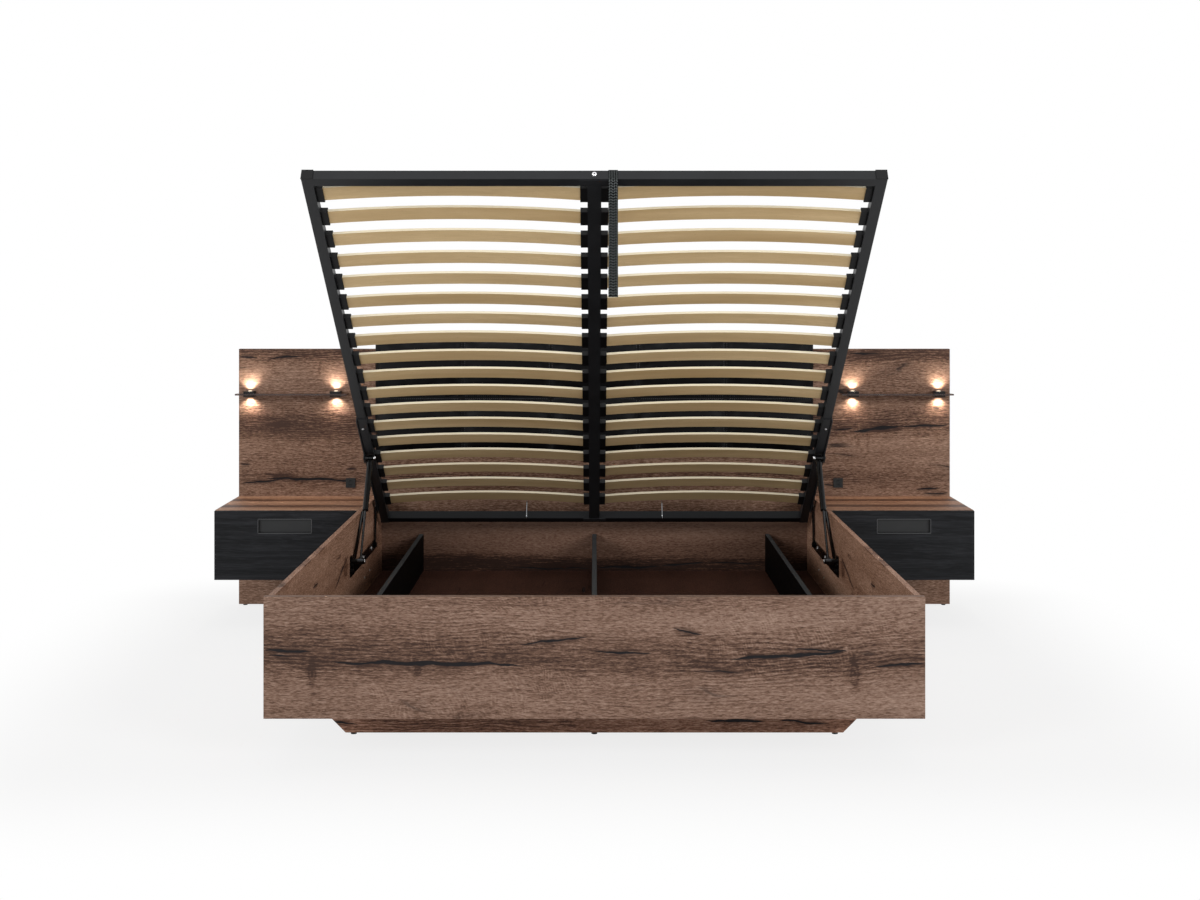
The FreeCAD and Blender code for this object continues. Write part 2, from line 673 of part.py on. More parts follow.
def build_lift_base(side):
    """Base plate on the rail with the link pins and the spring stud."""
    name = f"{side}_lift_base"
    plate = ("base_face", "half_inner")
    pieces = [side_box(f"{name}_plate", side, plate,
                       ("front_pivot_y - base_margin", "pivot_height - base_half_height"),
                       ("rear_pivot_y - front_pivot_y + 2 * base_margin", "2 * base_half_height")),
              side_box(f"{name}_ear", side, plate, ("front_pivot_y - base_margin", "pivot_height"),
                       ("2 * base_margin", "spring_foot_rise + base_margin"))]
    for end in ("front", "rear"):
        pieces.append(side_bar(f"{name}_{end}_pin", side, ("pin_head_far - pin_head", "half_inner"),
                               f"{end}_pivot_y", "pivot_height", "pin_radius"))
        pieces.append(side_bar(f"{name}_{end}_head", side, ("pin_head_far - pin_head", "pin_head_far"),
                               f"{end}_pivot_y", "pivot_height", "pin_head_radius"))
    stud_end = "eye_near - link_gap - pin_head"
    pieces.append(side_bar(f"{name}_stud", side, (stud_end, "half_inner"), "front_pivot_y", "spring_foot_z",
                           "pin_radius"))
    pieces.append(side_bar(f"{name}_stud_head", side, (stud_end, "eye_near - link_gap"), "front_pivot_y",
                           "spring_foot_z", "pin_head_radius"))
    pieces.append(side_bar(f"{name}_stud_collar", side, ("eye_far + link_gap", "link_near - link_gap"),
                           "front_pivot_y", "spring_foot_z", "pin_head_radius"))
    part(fuse(name, pieces), name)


def build_base_bolts():
    """Heads of the bolts that hold the base plates to the rails."""
    heads = []
    for side in SIDES:
        for share in BASE_BOLT_SHARES:
            y = f"front_pivot_y + {share} * (rear_pivot_y - front_pivot_y)"
            heads.append(side_bar(f"{side}_bolt_head", side, ("base_face - bolt_head", "base_face"), y,
                                  "pivot_height", "bolt_radius"))
    part(group("lift_base_bolts", heads), "lift_base_bolts")


def build_spring(side):
    """Gas spring: a rod with its eye on the base stud, and a cylinder that slides along it."""
    low_x = "-spring_eye_width / 2"
    middle = "spring_middle" if side == "right" else "-spring_middle"
    seat = ((middle, "front_pivot_y", "spring_foot_z"), "spring_angle", Vector(1, 0, 0))
    rod = f"{side}_spring_rod"
    eye = cross_bar(f"{rod}_eye", low_x, "spring_eye_width", "0", "0", "spring_eye_radius")
    stem = long_bar(f"{rod}_stem", "pin_radius + pin_clearance", "rod_length", "rod_radius")
    hole = cross_bar(f"{rod}_hole", f"{low_x} - cut_overrun", "spring_eye_width + 2 * cut_overrun", "0", "0",
                     "pin_radius + pin_clearance")
    part(tilt(cut(rod, fuse(f"{rod}_solid", [eye, stem]), hole), *seat), rod)
    cylinder = f"{side}_spring_cylinder"
    body_y = "spring_length - spring_neck - spring_body"
    pieces = [long_bar(f"{cylinder}_body", body_y, "spring_body", "spring_radius"),
              long_bar(f"{cylinder}_neck", f"{body_y} + spring_body - spring_end",
                       "spring_neck + spring_end", "spring_neck_radius"),
              cross_bar(f"{cylinder}_eye", low_x, "spring_eye_width", "spring_length", "0",
                        "spring_eye_radius")]
    bore = long_bar(f"{cylinder}_bore", f"{body_y} - cut_overrun", "spring_body - spring_end + cut_overrun",
                    "rod_radius + pin_clearance")
    part(tilt(cut(cylinder, fuse(f"{cylinder}_solid", pieces), bore), *seat), cylinder)


def build_hanger(side):
    """Angle on the frame's side tube that carries the link pins and the spring pin."""
    name = f"{side}_frame_hanger"
    plate = ("frame_half", "hanger_far")
    lead_y = "hanger_lead - rear_pin_along"
    pieces = [side_box(f"{name}_plate", side, plate, ("-hanger_reach", "-hanger_drop"),
                       (f"hanger_reach + {lead_y}", "hanger_drop + hanger_rise")),
              side_box(f"{name}_lip", side, ("tube_inner", "hanger_far"), ("-hanger_reach", "-hanger_lip"),
                       ("hanger_reach - spring_pin_along - base_margin", "hanger_lip"))]
    for pin in ("front", "spring"):
        pieces.append(side_box(f"{name}_{pin}_ear", side, plate,
                               (f"-{pin}_pin_along - base_margin", f"-{pin}_pin_drop - link_half_width"),
                               ("2 * base_margin", f"{pin}_pin_drop + link_half_width")))
    pieces.append(side_bar(f"{name}_rear_pin", side, ("frame_half", "link_far"), "-rear_pin_along",
                           "rear_pin_up", "pin_radius"))
    pieces.append(side_bar(f"{name}_front_boss", side, ("frame_half", "link_near - link_gap"),
                           "-front_pin_along", "-front_pin_drop", "pin_head_radius"))
    pieces.append(side_bar(f"{name}_spring_pin", side, ("eye_far + link_gap", "hanger_far"),
                           "-spring_pin_along", "-spring_pin_drop", "pin_radius"))
    part(raise_frame(fuse(name, pieces)), name)


def build_mechanism():
    """Base plates, links, gas springs and frame hangers on both sides."""
    for side in SIDES:
        build_lift_base(side)
        for end in ("rear", "front"):
            label = f"{side}_{end}_link"
            part(link(label, side, f"{end}_pivot_y", f"{end}_link_length", f"{end}_link_angle"), label)
        build_spring(side)
        build_hanger(side)
    build_base_bolts()


def check_and_write():
    """Stop if any object failed, then write each sub-part."""
    doc.recompute()
    for item in doc.Objects:
        if "Invalid" in item.State or "Error" in item.State:
            raise RuntimeError(f"{item.Name} failed: {item.State}")
    for item in parts:
        if item.Shape.isNull() or not item.Shape.isValid():
            raise RuntimeError(f"{item.Label} has no valid shape")
    os.makedirs("parts", exist_ok=True)
    for item in parts:
        item.Shape.exportStep(f"parts/{item.Label}.step")


build_box()
build_plinth()
build_headboard()
for stand_side in SIDES:
    build_stand(stand_side)
    build_drawer(stand_side)
build_frame_tubes()
build_slats()
build_strap()
build_mechanism()
check_and_write()
for name in ("rear_link_length", "front_link_length", "spring_length", "front_pivot_y", "rear_pivot_y"):
    print(name, round(value(name), 3))
print(len(parts), "sub-parts")
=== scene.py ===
"""Looks of the storage bed: finishes, soft goods, small fittings, light and camera.

Metres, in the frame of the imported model: X across the bed, Y from the foot to the headboard, Z up.
"""

import logging
import math
from dataclasses import dataclass, field, replace
from enum import Enum
from typing import Any, Callable, Iterable, Sequence, Union

import bmesh
import bpy
import numpy as np
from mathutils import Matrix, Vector


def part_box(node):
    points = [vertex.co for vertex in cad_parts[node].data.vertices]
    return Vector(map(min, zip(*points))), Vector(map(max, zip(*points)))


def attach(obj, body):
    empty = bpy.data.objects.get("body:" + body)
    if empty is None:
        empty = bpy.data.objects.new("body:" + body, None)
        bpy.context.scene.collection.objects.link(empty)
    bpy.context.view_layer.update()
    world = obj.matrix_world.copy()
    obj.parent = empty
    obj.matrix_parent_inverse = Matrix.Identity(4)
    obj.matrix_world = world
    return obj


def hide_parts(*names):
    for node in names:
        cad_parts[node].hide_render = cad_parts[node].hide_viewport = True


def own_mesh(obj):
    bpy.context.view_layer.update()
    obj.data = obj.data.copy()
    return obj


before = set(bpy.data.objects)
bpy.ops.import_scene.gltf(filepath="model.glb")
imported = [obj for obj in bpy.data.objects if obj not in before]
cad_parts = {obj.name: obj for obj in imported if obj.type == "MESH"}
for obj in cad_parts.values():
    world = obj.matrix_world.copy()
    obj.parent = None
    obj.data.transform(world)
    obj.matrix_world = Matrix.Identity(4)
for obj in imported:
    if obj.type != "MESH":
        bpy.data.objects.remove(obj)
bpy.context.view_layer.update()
LOG = logging.getLogger("storage_bed")
MM = 0.001
WELD = 1e-6
FULL_TURN = 2 * math.pi
WHITE = (1.0, 1.0, 1.0, 1.0)
SIDES = ("left", "right")
Colour = tuple[float, float, float]
Pair = tuple[float, float]


def linear(red: int, green: int, blue: int) -> Colour:
    """Linear colour of an 8-bit display colour, by the display's own curve.

    Args:
        red: red from 0 to 255.
        green: green from 0 to 255.
        blue: blue from 0 to 255.

    Returns:
        The three linear values from 0 to 1.
    """
    shares = np.array((red, green, blue)) / 255
    low = shares / 12.92
    high = ((shares + 0.055) / 1.055) ** 2.4
    return tuple(float(x) for x in np.where(shares <= 0.04045, low, high))


def scaled(colour: Colour, share: float) -> Colour:
    """A colour made darker or brighter by a share."""
    return tuple(share * channel for channel in colour)


def opaque(value: "Input") -> "Input":
    """A colour of three values with its alpha added; anything else as it is."""
    return (*value, 1.0) if isinstance(value, tuple) and len(value) == 3 else value


class Grain(Enum):
    """How a board is cut: the axes along its grain, through its thickness and up its face."""

    ACROSS = (0, 1, 2)
    ACROSS_FLAT = (0, 2, 1)
    LENGTHWISE = (1, 0, 2)


class Socket:
    """Output of a shader node, on which Python's operators add Math nodes."""

    def __init__(self, tree: "Tree", out: bpy.types.NodeSocket) -> None:
        """Hold an output socket and the tree that it is in."""
        self.tree = tree
        self.out = out

    def math(self, operation: str, *others: "Input") -> "Socket":
        """Math node on this value and others, in that order."""
        return self.tree.node("ShaderNodeMath", {"operation": operation}, dict(enumerate((self, *others))))

    def __add__(self, other: "Input") -> "Socket":
        """Sum of two values."""
        return self.math("ADD", other)

    __radd__ = __add__

    def __mul__(self, other: "Input") -> "Socket":
        """Product of two values."""
        return self.math("MULTIPLY", other)

    __rmul__ = __mul__

    def __sub__(self, other: "Input") -> "Socket":
        """This value less another."""
        return self.math("SUBTRACT", other)

    def __rsub__(self, other: float) -> "Socket":
        """A number less this value."""
        return self.tree.node("ShaderNodeMath", {"operation": "SUBTRACT"}, {0: other, 1: self})

    def __truediv__(self, other: "Input") -> "Socket":
        """This value divided by another."""
        return self.math("DIVIDE", other)

    def __pow__(self, power: float) -> "Socket":
        """This value raised to a power."""
        return self.math("POWER", power)

    def __abs__(self) -> "Socket":
        """Size of this value without its sign."""
        return self.math("ABSOLUTE")

    def most(self, other: "Input") -> "Socket":
        """Larger of two values."""
        return self.math("MAXIMUM", other)

    def rise(self, low: float, high: float) -> "Socket":
        """Smooth step from 0 at low to 1 at high; a falling one where low is above high.

        Args:
            low: value up to which it is 0.
            high: value from which it is 1.

        Returns:
            The step.
        """
        settings = {"interpolation_type": "SMOOTHSTEP"}
        if low <= high:
            return self.tree.node("ShaderNodeMapRange", settings, {0: self, 1: low, 2: high, 3: 0.0, 4: 1.0})
        return self.tree.node("ShaderNodeMapRange", settings, {0: self, 1: high, 2: low, 3: 1.0, 4: 0.0})


Input = Union[Socket, float, Sequence[float]]


class Tree:
    """Node tree of one material, or of the world."""

    def __init__(self, name: str, world: bpy.types.World | None = None) -> None:
        """Empty the tree of a world, or of a new material.

        Args:
            name: the new material's name.
            world: the world, if it is the tree of one.
        """
        self.owner = world or bpy.data.materials.new(name)
        self.owner.use_nodes = True
        self.nodes = self.owner.node_tree.nodes
        self.links = self.owner.node_tree.links
        self.nodes.clear()

    def node(self, kind: str, settings: dict[str, Any] | None = None,
             inputs: dict[int | str, Input] | None = None, output: int | str = 0) -> Socket:
        """Add a node, set it up, then give its sockets their values or links.

        Args:
            kind: the node's type.
            settings: its properties; "stops" holds a ramp's (place, colour) pairs.
            inputs: number, vector or Socket for each input, by its index or name.
            output: index or name of the output that is returned.

        Returns:
            That output.
        """
        node = self.nodes.new(kind)
        for name, setting in (settings or {}).items():
            if name == "stops":
                self._set_stops(node.color_ramp, setting)
            else:
                setattr(node, name, setting)
        for name, value in (inputs or {}).items():
            if isinstance(value, Socket):
                self.links.new(value.out, node.inputs[name])
            else:
                node.inputs[name].default_value = value
        return Socket(self, node.outputs[output])

    @staticmethod
    def _set_stops(ramp: bpy.types.ColorRamp, stops: Sequence[tuple[float, Colour]]) -> None:
        """Give a ramp its places and colours.

        Args:
            ramp: the ramp.
            stops: its places, each with its colour.
        """
        while len(ramp.elements) < len(stops):
            ramp.elements.new(1.0)
        for element, (place, colour) in zip(ramp.elements, stops):
            element.position = place
            element.color = opaque(colour)

    def place(self, kind: str = "Object") -> tuple[Socket, Socket, Socket]:
        """Coordinates of a surface point.

        Args:
            kind: "Object" for X, Y and Z in the frame, or "UV" for the piece's own map.

        Returns:
            The three coordinates.
        """
        point = self.node("ShaderNodeTexCoord", output=kind)
        outs = self.node("ShaderNodeSeparateXYZ", inputs={0: point}).out.node.outputs
        return tuple(Socket(self, outs[axis]) for axis in range(3))

    def board(self, grain: Grain) -> tuple[Socket, Socket, Socket]:
        """Place of a surface point along a board's grain, through the board and up its face."""
        place = self.place()
        return tuple(place[axis] for axis in grain.value)

    def seen(self) -> Socket:
        """Tell the rays that show the room itself, from the camera, a mirror or glass, from the others.

        Returns:
            1 for those rays, and 0 for the others.
        """
        outs = self.node("ShaderNodeLightPath").out.node.outputs
        names = ("Is Camera Ray", "Is Glossy Ray", "Is Transmission Ray")
        camera, mirror, glass = (Socket(self, outs[name]) for name in names)
        return camera.most(mirror).most(glass)

    def vector(self, x: Input, y: Input, z: Input) -> Socket:
        """Vector of three values."""
        return self.node("ShaderNodeCombineXYZ", inputs={0: x, 1: y, 2: z})

    def noise(self, point: Socket, detail: float = 2.0, rough: float = 0.5, scale: float = 1.0) -> Socket:
        """Smooth noise from 0 to 1 at a point."""
        return self.node("ShaderNodeTexNoise", inputs={"Vector": point, "Scale": scale, "Detail": detail,
                                                       "Roughness": rough})

    def mix(self, share: Input, first: Input, second: Input) -> Socket:
        """Blend of two colours, the second by its share."""
        inputs = {0: share, 6: opaque(first), 7: opaque(second)}
        return self.node("ShaderNodeMix", {"data_type": "RGBA"}, inputs, output=2)

    def ramp(self, value: Socket, *stops: tuple[float, Colour]) -> Socket:
        """Colour read from a ramp."""
        return self.node("ShaderNodeValToRGB", {"stops": stops}, {0: value})

    def bump(self, height: Socket, depth: float, strength: float = 1.0) -> Socket:
        """Normal of a surface raised by a height map, whose full height is depth in metres."""
        return self.node("ShaderNodeBump", inputs={"Strength": strength, "Distance": depth, "Height": height})

    def surface(self, colour: Input, rough: Input, normal: Socket | None = None, specular: float = 0.5,
                more: dict[str, Input] | None = None) -> bpy.types.Material:
        """Close the tree with a principled surface.

        Args:
            colour: its base colour.
            rough: its roughness.
            normal: its normal, where it isn't smooth.
            specular: its specular level.
            more: its other values and links, by socket name.

        Returns:
            The material.
        """
        inputs = {"Base Color": opaque(colour), "Roughness": rough, "Specular IOR Level": specular}
        inputs |= more or {}
        if normal is not None:
            inputs["Normal"] = normal
        self.close(self.node("ShaderNodeBsdfPrincipled", inputs=inputs))
        return self.owner

    def close(self, shader: Socket, kind: str = "Material") -> None:
        """Link a shader to the output of the material or, by its kind, of the world."""
        end = self.nodes.new(f"ShaderNodeOutput{kind}")
        self.links.new(shader.out, end.inputs["Surface"])


@dataclass(frozen=True)
class Layer:
    """Noise that is stretched by axis: its scales along, through and up a board, its detail and roughness."""

    along: float
    side: float
    up: float
    detail: float = 2.0
    rough: float = 0.5

    def read(self, along: Socket, side: Input, up: Input) -> Socket:
        """Read the noise at a place.

        Args:
            along: place along the grain.
            side: place through the board.
            up: place up its face.

        Returns:
            The noise, 0 to 1.
        """
        tree = along.tree
        point = tree.vector(along * self.along, side * self.side, up * self.up)
        return tree.noise(point, self.detail, self.rough)


@dataclass(frozen=True)
class Crack:
    """Split in a board: its ends as (along the grain, across it), and its half-width, in metres."""

    start: Pair
    end: Pair
    half_width: float


@dataclass(frozen=True)
class Heart:
    """Dark heart band of a board: its level across the grain, half its width, and its strength; a negative
    strength makes a pale band.
    """

    level: float
    half_width: float
    strength: float = 1.0


@dataclass(frozen=True)
class Knot:
    """Dark knot or mark: centre and half-lengths as (along the grain, across it), and its strength."""

    centre: Pair
    reach: Pair
    strength: float = 1.0


@dataclass(frozen=True)
class RusticOak:
    """Brown rustic oak: tone bands, fibres, pale cross figure and dark splits along the grain."""

    name: str
    grain: Grain
    cut_at: float
    cracks: tuple[Crack, ...] = ()
    hearts: tuple[Heart, ...] = ()
    knots: tuple[Knot, ...] = ()
    light: Colour = linear(172, 147, 132)
    pale: Colour = linear(148, 121, 107)
    middle: Colour = linear(128, 101, 86)
    dark: Colour = linear(102, 76, 62)
    stain: Colour = linear(58, 38, 29)
    split: Colour = linear(17, 14, 16)
    contrast: float = 1.0
    halo_width: float = 15 * MM
    fibre_depth: float = 0.6 * MM
    warp: float = 60 * MM
    ring_pitch: float = 9 * MM
    figure: float = 0.03
    figure_pitch: float = 10 * MM
    base_tone: float = 0.52
    band_share: float = 0.6
    coarse_share: float = 0.45
    fine_share: float = 1.2
    smudge_share: float = 0.16
    ring_share: float = 0.12
    heart_share: float = 0.3
    drift: Layer = Layer(1.5, 3.0, 3.5, 3.0)
    bands: Layer = Layer(0.8, 9.0, 9.0, 4.0, 0.55)
    coarse: Layer = Layer(13.0, 190.0, 190.0, 4.0, 0.65)
    fine: Layer = Layer(70.0, 410.0, 410.0, 2.0, 0.7)
    pores: Layer = Layer(24.0, 330.0, 330.0)

    def build(self) -> bpy.types.Material:
        """Board finish with its grain along one axis.

        Returns:
            The material.
        """
        tree = Tree(self.name)
        along, side, up = tree.board(self.grain)
        run = along + self.cut_at
        drift = self.drift.read(run, side, up) - 0.5
        bent_up = up + drift * self.warp
        bent_side = side + drift * self.warp
        layers = (self.bands, self.coarse, self.fine, self.pores)
        bands, coarse, fine, pores = (layer.read(run, bent_side, bent_up) for layer in layers)
        pores = pores.rise(0.6, 0.7)
        figure = self._cross_figure(run, bent_side, bent_up)
        split, halo = self._splits(tree, along, run, up, bent_side, bent_up)
        rings = self._rings(run, bent_side + bent_up, coarse)
        tone = (bands - 0.5) * (self.band_share * self.contrast) + (coarse - 0.5) * self.coarse_share
        tone = tone + (fine - 0.5) * self.fine_share + self.base_tone
        tone = tone + figure * self.figure - self._smudges(tree, run, side, up) * self.smudge_share
        tone = tone - rings * self.ring_share
        for heart in self.hearts:
            reach = abs(bent_up - heart.level) / heart.half_width
            dark = coarse.rise(0.66, 0.4) * 0.4 + rings * 0.4 + 0.3
            tone = tone - reach.rise(1.6, 0.1) * dark * (self.heart_share * heart.strength)
        for knot in self.knots:
            tone = tone - self._knot(along, up, coarse, knot)
        colour = tree.ramp(tone, (0.14, self.stain), (0.36, self.dark), (0.5, self.middle), (0.63, self.pale),
                           (0.84, self.light))
        colour = tree.mix(pores * 0.35, colour, self.stain)
        colour = tree.mix(halo * (coarse.rise(0.7, 0.4) * 0.5 + rings * 0.2 + 0.3), colour, self.stain)
        colour = tree.mix(split, colour, self.split)
        height = fine * 0.6 + coarse * 0.5 + figure * 0.3 - pores * 0.5 - split * 1.5
        rough = 0.62 - fine * 0.16 + split * 0.2
        return tree.surface(colour, rough, tree.bump(height, self.fibre_depth, 0.7), specular=0.2)

    def with_painted_light(self, *shares: float) -> "RusticOak":
        """The same board with its red, green and blue scaled, which paints on it the light or shade that
        falls on it.

        Args:
            shares: what red, green and blue are multiplied by.

        Returns:
            The scaled finish.
        """
        names = ("light", "pale", "middle", "dark", "stain")
        colours = {name: tuple(c * k for c, k in zip(getattr(self, name), shares)) for name in names}
        return replace(self, **colours)

    def _rings(self, run: Socket, level: Socket, coarse: Socket) -> Socket:
        """Year rings: thin dark lines at an even pitch across the bent grain, broken up in patches.

        Args:
            run: place along the grain.
            level: place across the bent grain.
            coarse: noise that roughens the lines.

        Returns:
            The lines' strength, 0 to 1.
        """
        swing = Layer(3.0, 10.0, 0.0).read(run, level, 0.0) * (5 * self.ring_pitch)
        phase = (level + swing + coarse * (0.7 * self.ring_pitch)) * (FULL_TURN / self.ring_pitch)
        lines = (phase.math("SINE") * 0.5 + 0.5) ** 2.0
        return lines * Layer(1.7, 6.0, 4.0).read(run, level, 1.0).rise(0.38, 0.62)

    @staticmethod
    def _knot(along: Socket, up: Socket, coarse: Socket, knot: Knot) -> Socket:
        """Darkness of a knot: rings round its centre, which fade out at its reach.

        Args:
            along: place along the grain.
            up: place across the face.
            coarse: noise that roughens the knot's outline.
            knot: the knot.

        Returns:
            Its darkness.
        """
        first = (along - knot.centre[0]) / knot.reach[0]
        second = (up - knot.centre[1]) / knot.reach[1]
        away = (first * first + second * second) ** 0.5 + (coarse - 0.5) * 0.9
        rings = (away * 13.0).math("COSINE") * 0.5 + 0.5
        return away.rise(1.1, 0.0) * (rings * 0.6 + 0.4) * (0.5 * knot.strength)

    @staticmethod
    def _smudges(tree: Tree, run: Socket, side: Socket, up: Socket) -> Socket:
        """Brown marks that stand across the grain, few and soft, 0 to 1."""
        marks = Layer(26.0, 5.0, 9.0, 3.0, 0.6).read(run, side, up).rise(0.58, 0.72)
        return marks * tree.noise(tree.vector(run * 2.3, side * 4.0, up * 6.0 + 3.0), 2.0).rise(0.5, 0.64)

    def _cross_figure(self, run: Socket, side: Socket, up: Socket) -> Socket:
        """Pale strokes that lean across the grain at an even pitch, bent and broken, in patches.

        Args:
            run: place along the grain.
            side: place across the board's thickness.
            up: place across the board's face.

        Returns:
            The strokes' strength, 0 to 1.
        """
        bend = Layer(9.0, 9.0, 9.0).read(run, side, up) - 0.5
        lean = run + (up + side) * 0.45 + bend * (11 * self.figure_pitch)
        strokes = ((lean * (FULL_TURN / self.figure_pitch)).math("SINE") * 0.5 + 0.5) ** 3.0
        breaks = Layer(36.0, 60.0, 60.0).read(run, side, up).rise(0.42, 0.6)
        patches = Layer(2.6, 7.0, 7.0).read(run, side, up).rise(0.46, 0.6)
        return strokes * breaks * patches

    def _splits(self, tree: Tree, along: Socket, run: Socket, up: Socket, bent_side: Socket,
                bent_up: Socket) -> tuple[Socket, Socket]:
        """Dark splits: thin level lines of a stretched noise, and the board's own named cracks.

        A crack's line goes straight from end to end with a small wander, and its half-width follows
        (4 share (1 - share)) ** 0.6 of the way along it, so that it tapers to nothing at both ends.

        Args:
            tree: the material's tree.
            along: place along the grain.
            run: the same, moved to where the board was cut.
            up: place across the face.
            bent_side: place across the thickness, on bent grain.
            bent_up: place across the face, on bent grain.

        Returns:
            The splits, and the stain round them, both 0 to 1.
        """
        level = abs(Layer(1.1, 8.0, 8.0, 3.0).read(run, bent_side, bent_up) - 0.5)
        patch = tree.noise(tree.vector(run * 2.4 + 7.0, bent_side * 5.0, bent_up * 5.0), 2.0).rise(0.56, 0.68)
        split = level.rise(0.011, 0.003) * patch
        halo = level.rise(0.09, 0.0) * patch * 0.6
        if not self.cracks:
            return split, halo
        line = tree.vector(run, 0.0, 0.0)
        wander = (tree.noise(line, 3.0, 0.5, 9.0) - 0.5) * (26 * MM)
        swell = tree.noise(line, 2.0, 0.5, 22.0) * 1.9
        ragged = (Layer(30.0, 0.0, 150.0, 3.0, 0.7).read(run, 0.0, up) - 0.5) * (16 * MM)
        for crack in self.cracks:
            (first, low), (last, high) = crack.start, crack.end
            share = (along - first) / (last - first)
            bell = (share * (1.0 - share) * 4.0).most(0.0) ** 0.6
            gap = abs(up - wander - share.math("MULTIPLY_ADD", high - low, low))
            core = ((bell * swell * (1.25 * crack.half_width) - gap) / (0.9 * MM)).rise(0.0, 1.0)
            spread = ((bell * self.halo_width - gap + ragged) / self.halo_width).rise(0.0, 0.9)
            split = split.most(core)
            halo = halo.most(spread)
        return split, halo


@dataclass(frozen=True)
class BlackOak:
    """Matt black oak decor: near black, with fine paler grain lines."""

    name: str
    grain: Grain
    cut_at: float = 0.0
    deep: Colour = linear(12, 13, 15)
    line: Colour = linear(38, 39, 42)
    specular: float = 0.12
    edge: Colour = linear(64, 66, 68)
    edge_level: float | None = None
    edge_blend: float = 0.5 * MM
    warp: float = 70 * MM
    drift: Layer = Layer(1.6, 4.0, 5.0, 3.0)
    rings: Layer = Layer(0.9, 60.0, 60.0, 4.0, 0.65)
    fibre: Layer = Layer(14.0, 260.0, 260.0, 3.0, 0.6)

    def build(self) -> bpy.types.Material:
        """Board finish with its grain along one axis, and a paler top edge where its level is given.

        Returns:
            The material.
        """
        tree = Tree(self.name)
        along, side, up = tree.board(self.grain)
        run = along + self.cut_at
        drift = self.drift.read(run, side, up) - 0.5
        bent_up = up + drift * self.warp
        bent_side = side + drift * self.warp
        rings, fibre = (layer.read(run, bent_side, bent_up) for layer in (self.rings, self.fibre))
        lines = rings.rise(0.42, 0.66) * 0.5 + fibre.rise(0.4, 0.7) * 0.55
        colour = tree.mix(lines, self.deep, self.line)
        if self.edge_level is not None:
            colour = tree.mix(up.rise(self.edge_level - self.edge_blend, self.edge_level), colour, self.edge)
        return tree.surface(colour, 0.5 + fibre * 0.2, tree.bump(lines, 0.35 * MM, 0.6), self.specular)


@dataclass(frozen=True)
class Coated:
    """Powder coat, moulded plastic or plain board: one colour with a fine orange peel and faint smudges."""

    name: str
    colour: Colour
    rough: float
    peel_scale: float = 900.0
    peel_depth: float = 0.06 * MM
    specular: float = 0.5

    def build(self) -> bpy.types.Material:
        """Finish with small changes of tone and gloss.

        Returns:
            The material.
        """
        tree = Tree(self.name)
        point = tree.vector(*tree.place())
        peel = tree.noise(point, 2.0, 0.5, self.peel_scale)
        smudge = tree.noise(point, 4.0, 0.6, 9.0)
        share = smudge.rise(0.35, 0.65) * 0.7 + peel * 0.3
        colour = tree.mix(share, scaled(self.colour, 0.86), scaled(self.colour, 1.16))
        rough = self.rough + (smudge - 0.5) * 0.16
        return tree.surface(colour, rough, tree.bump(peel, self.peel_depth, 0.5), self.specular)


@dataclass(frozen=True)
class BentBeech:
    """Peeled beech veneer: pale tan, with fine fibres and dark flecks, and painted shade that makes it a
    little darker towards the head.
    """

    name: str
    pale: Colour = linear(238, 210, 163)
    dark: Colour = linear(196, 165, 118)
    fleck: Colour = linear(140, 108, 70)
    painted_shade: Colour = linear(48, 36, 20)
    painted_shade_from: float = 0.95
    painted_shade_to: float = 0.5
    painted_shade_share: float = 0.32
    tone: Layer = Layer(0.8, 9.0, 9.0, 3.0, 0.6)
    fibre: Layer = Layer(16.0, 420.0, 420.0, 3.0, 0.6)
    flecks: Layer = Layer(120.0, 900.0, 900.0)

    def build(self) -> bpy.types.Material:
        """Slat finish with the grain across the bed.

        Returns:
            The material.
        """
        tree = Tree(self.name)
        place = tree.place()
        tone, fibre, flecks = (layer.read(*place) for layer in (self.tone, self.fibre, self.flecks))
        flecks = flecks.rise(0.66, 0.74)
        colour = tree.ramp(tone, (0.3, self.dark), (0.7, self.pale))
        colour = tree.mix(fibre.rise(0.68, 0.3) * 0.4, colour, self.dark)
        colour = tree.mix(flecks * 0.5, colour, self.fleck)
        # Painted shade: lower on the raised frame, towards the head, the colour is mixed towards a dark
        # brown.
        colour = tree.mix(place[2].rise(self.painted_shade_from, self.painted_shade_to) * self.painted_shade_share, colour, self.painted_shade)
        return tree.surface(colour, 0.42 + fibre * 0.2, tree.bump(fibre - flecks * 0.6, 0.15 * MM, 0.5), 0.4)


@dataclass(frozen=True)
class TurnedSteel:
    """Plated or blackened steel with fine turning marks."""

    name: str
    colour: Colour = (0.9, 0.9, 0.91)

    def build(self) -> bpy.types.Material:
        """Metal finish, a little rougher in patches.

        Returns:
            The material.
        """
        tree = Tree(self.name)
        place = tree.place()
        marks = Layer(60.0, 900.0, 900.0).read(*place)
        haze = tree.noise(tree.vector(*place), 3.0, 0.6, 60.0)
        colour = tree.mix(haze, scaled(self.colour, 0.82), self.colour)
        normal = tree.bump(marks, 0.03 * MM, 0.4)
        return tree.surface(colour, 0.2 + haze * 0.16, normal, more={"Metallic": 1.0})


@dataclass(frozen=True)
class SmokedGlass:
    """Polished smoked glass with faint prints."""

    name: str
    colour: Colour = linear(128, 95, 85)

    def build(self) -> bpy.types.Material:
        """Clear dark glass, faintly smeared.

        Returns:
            The material.
        """
        tree = Tree(self.name)
        smear = tree.noise(tree.vector(*tree.place()), 4.0, 0.6, 24.0)
        colour = tree.mix(smear, self.colour, scaled(self.colour, 0.85))
        rough = 0.03 + smear.rise(0.5, 0.8) * 0.1
        return tree.surface(colour, rough, more={"Transmission Weight": 0.85, "IOR": 1.5})


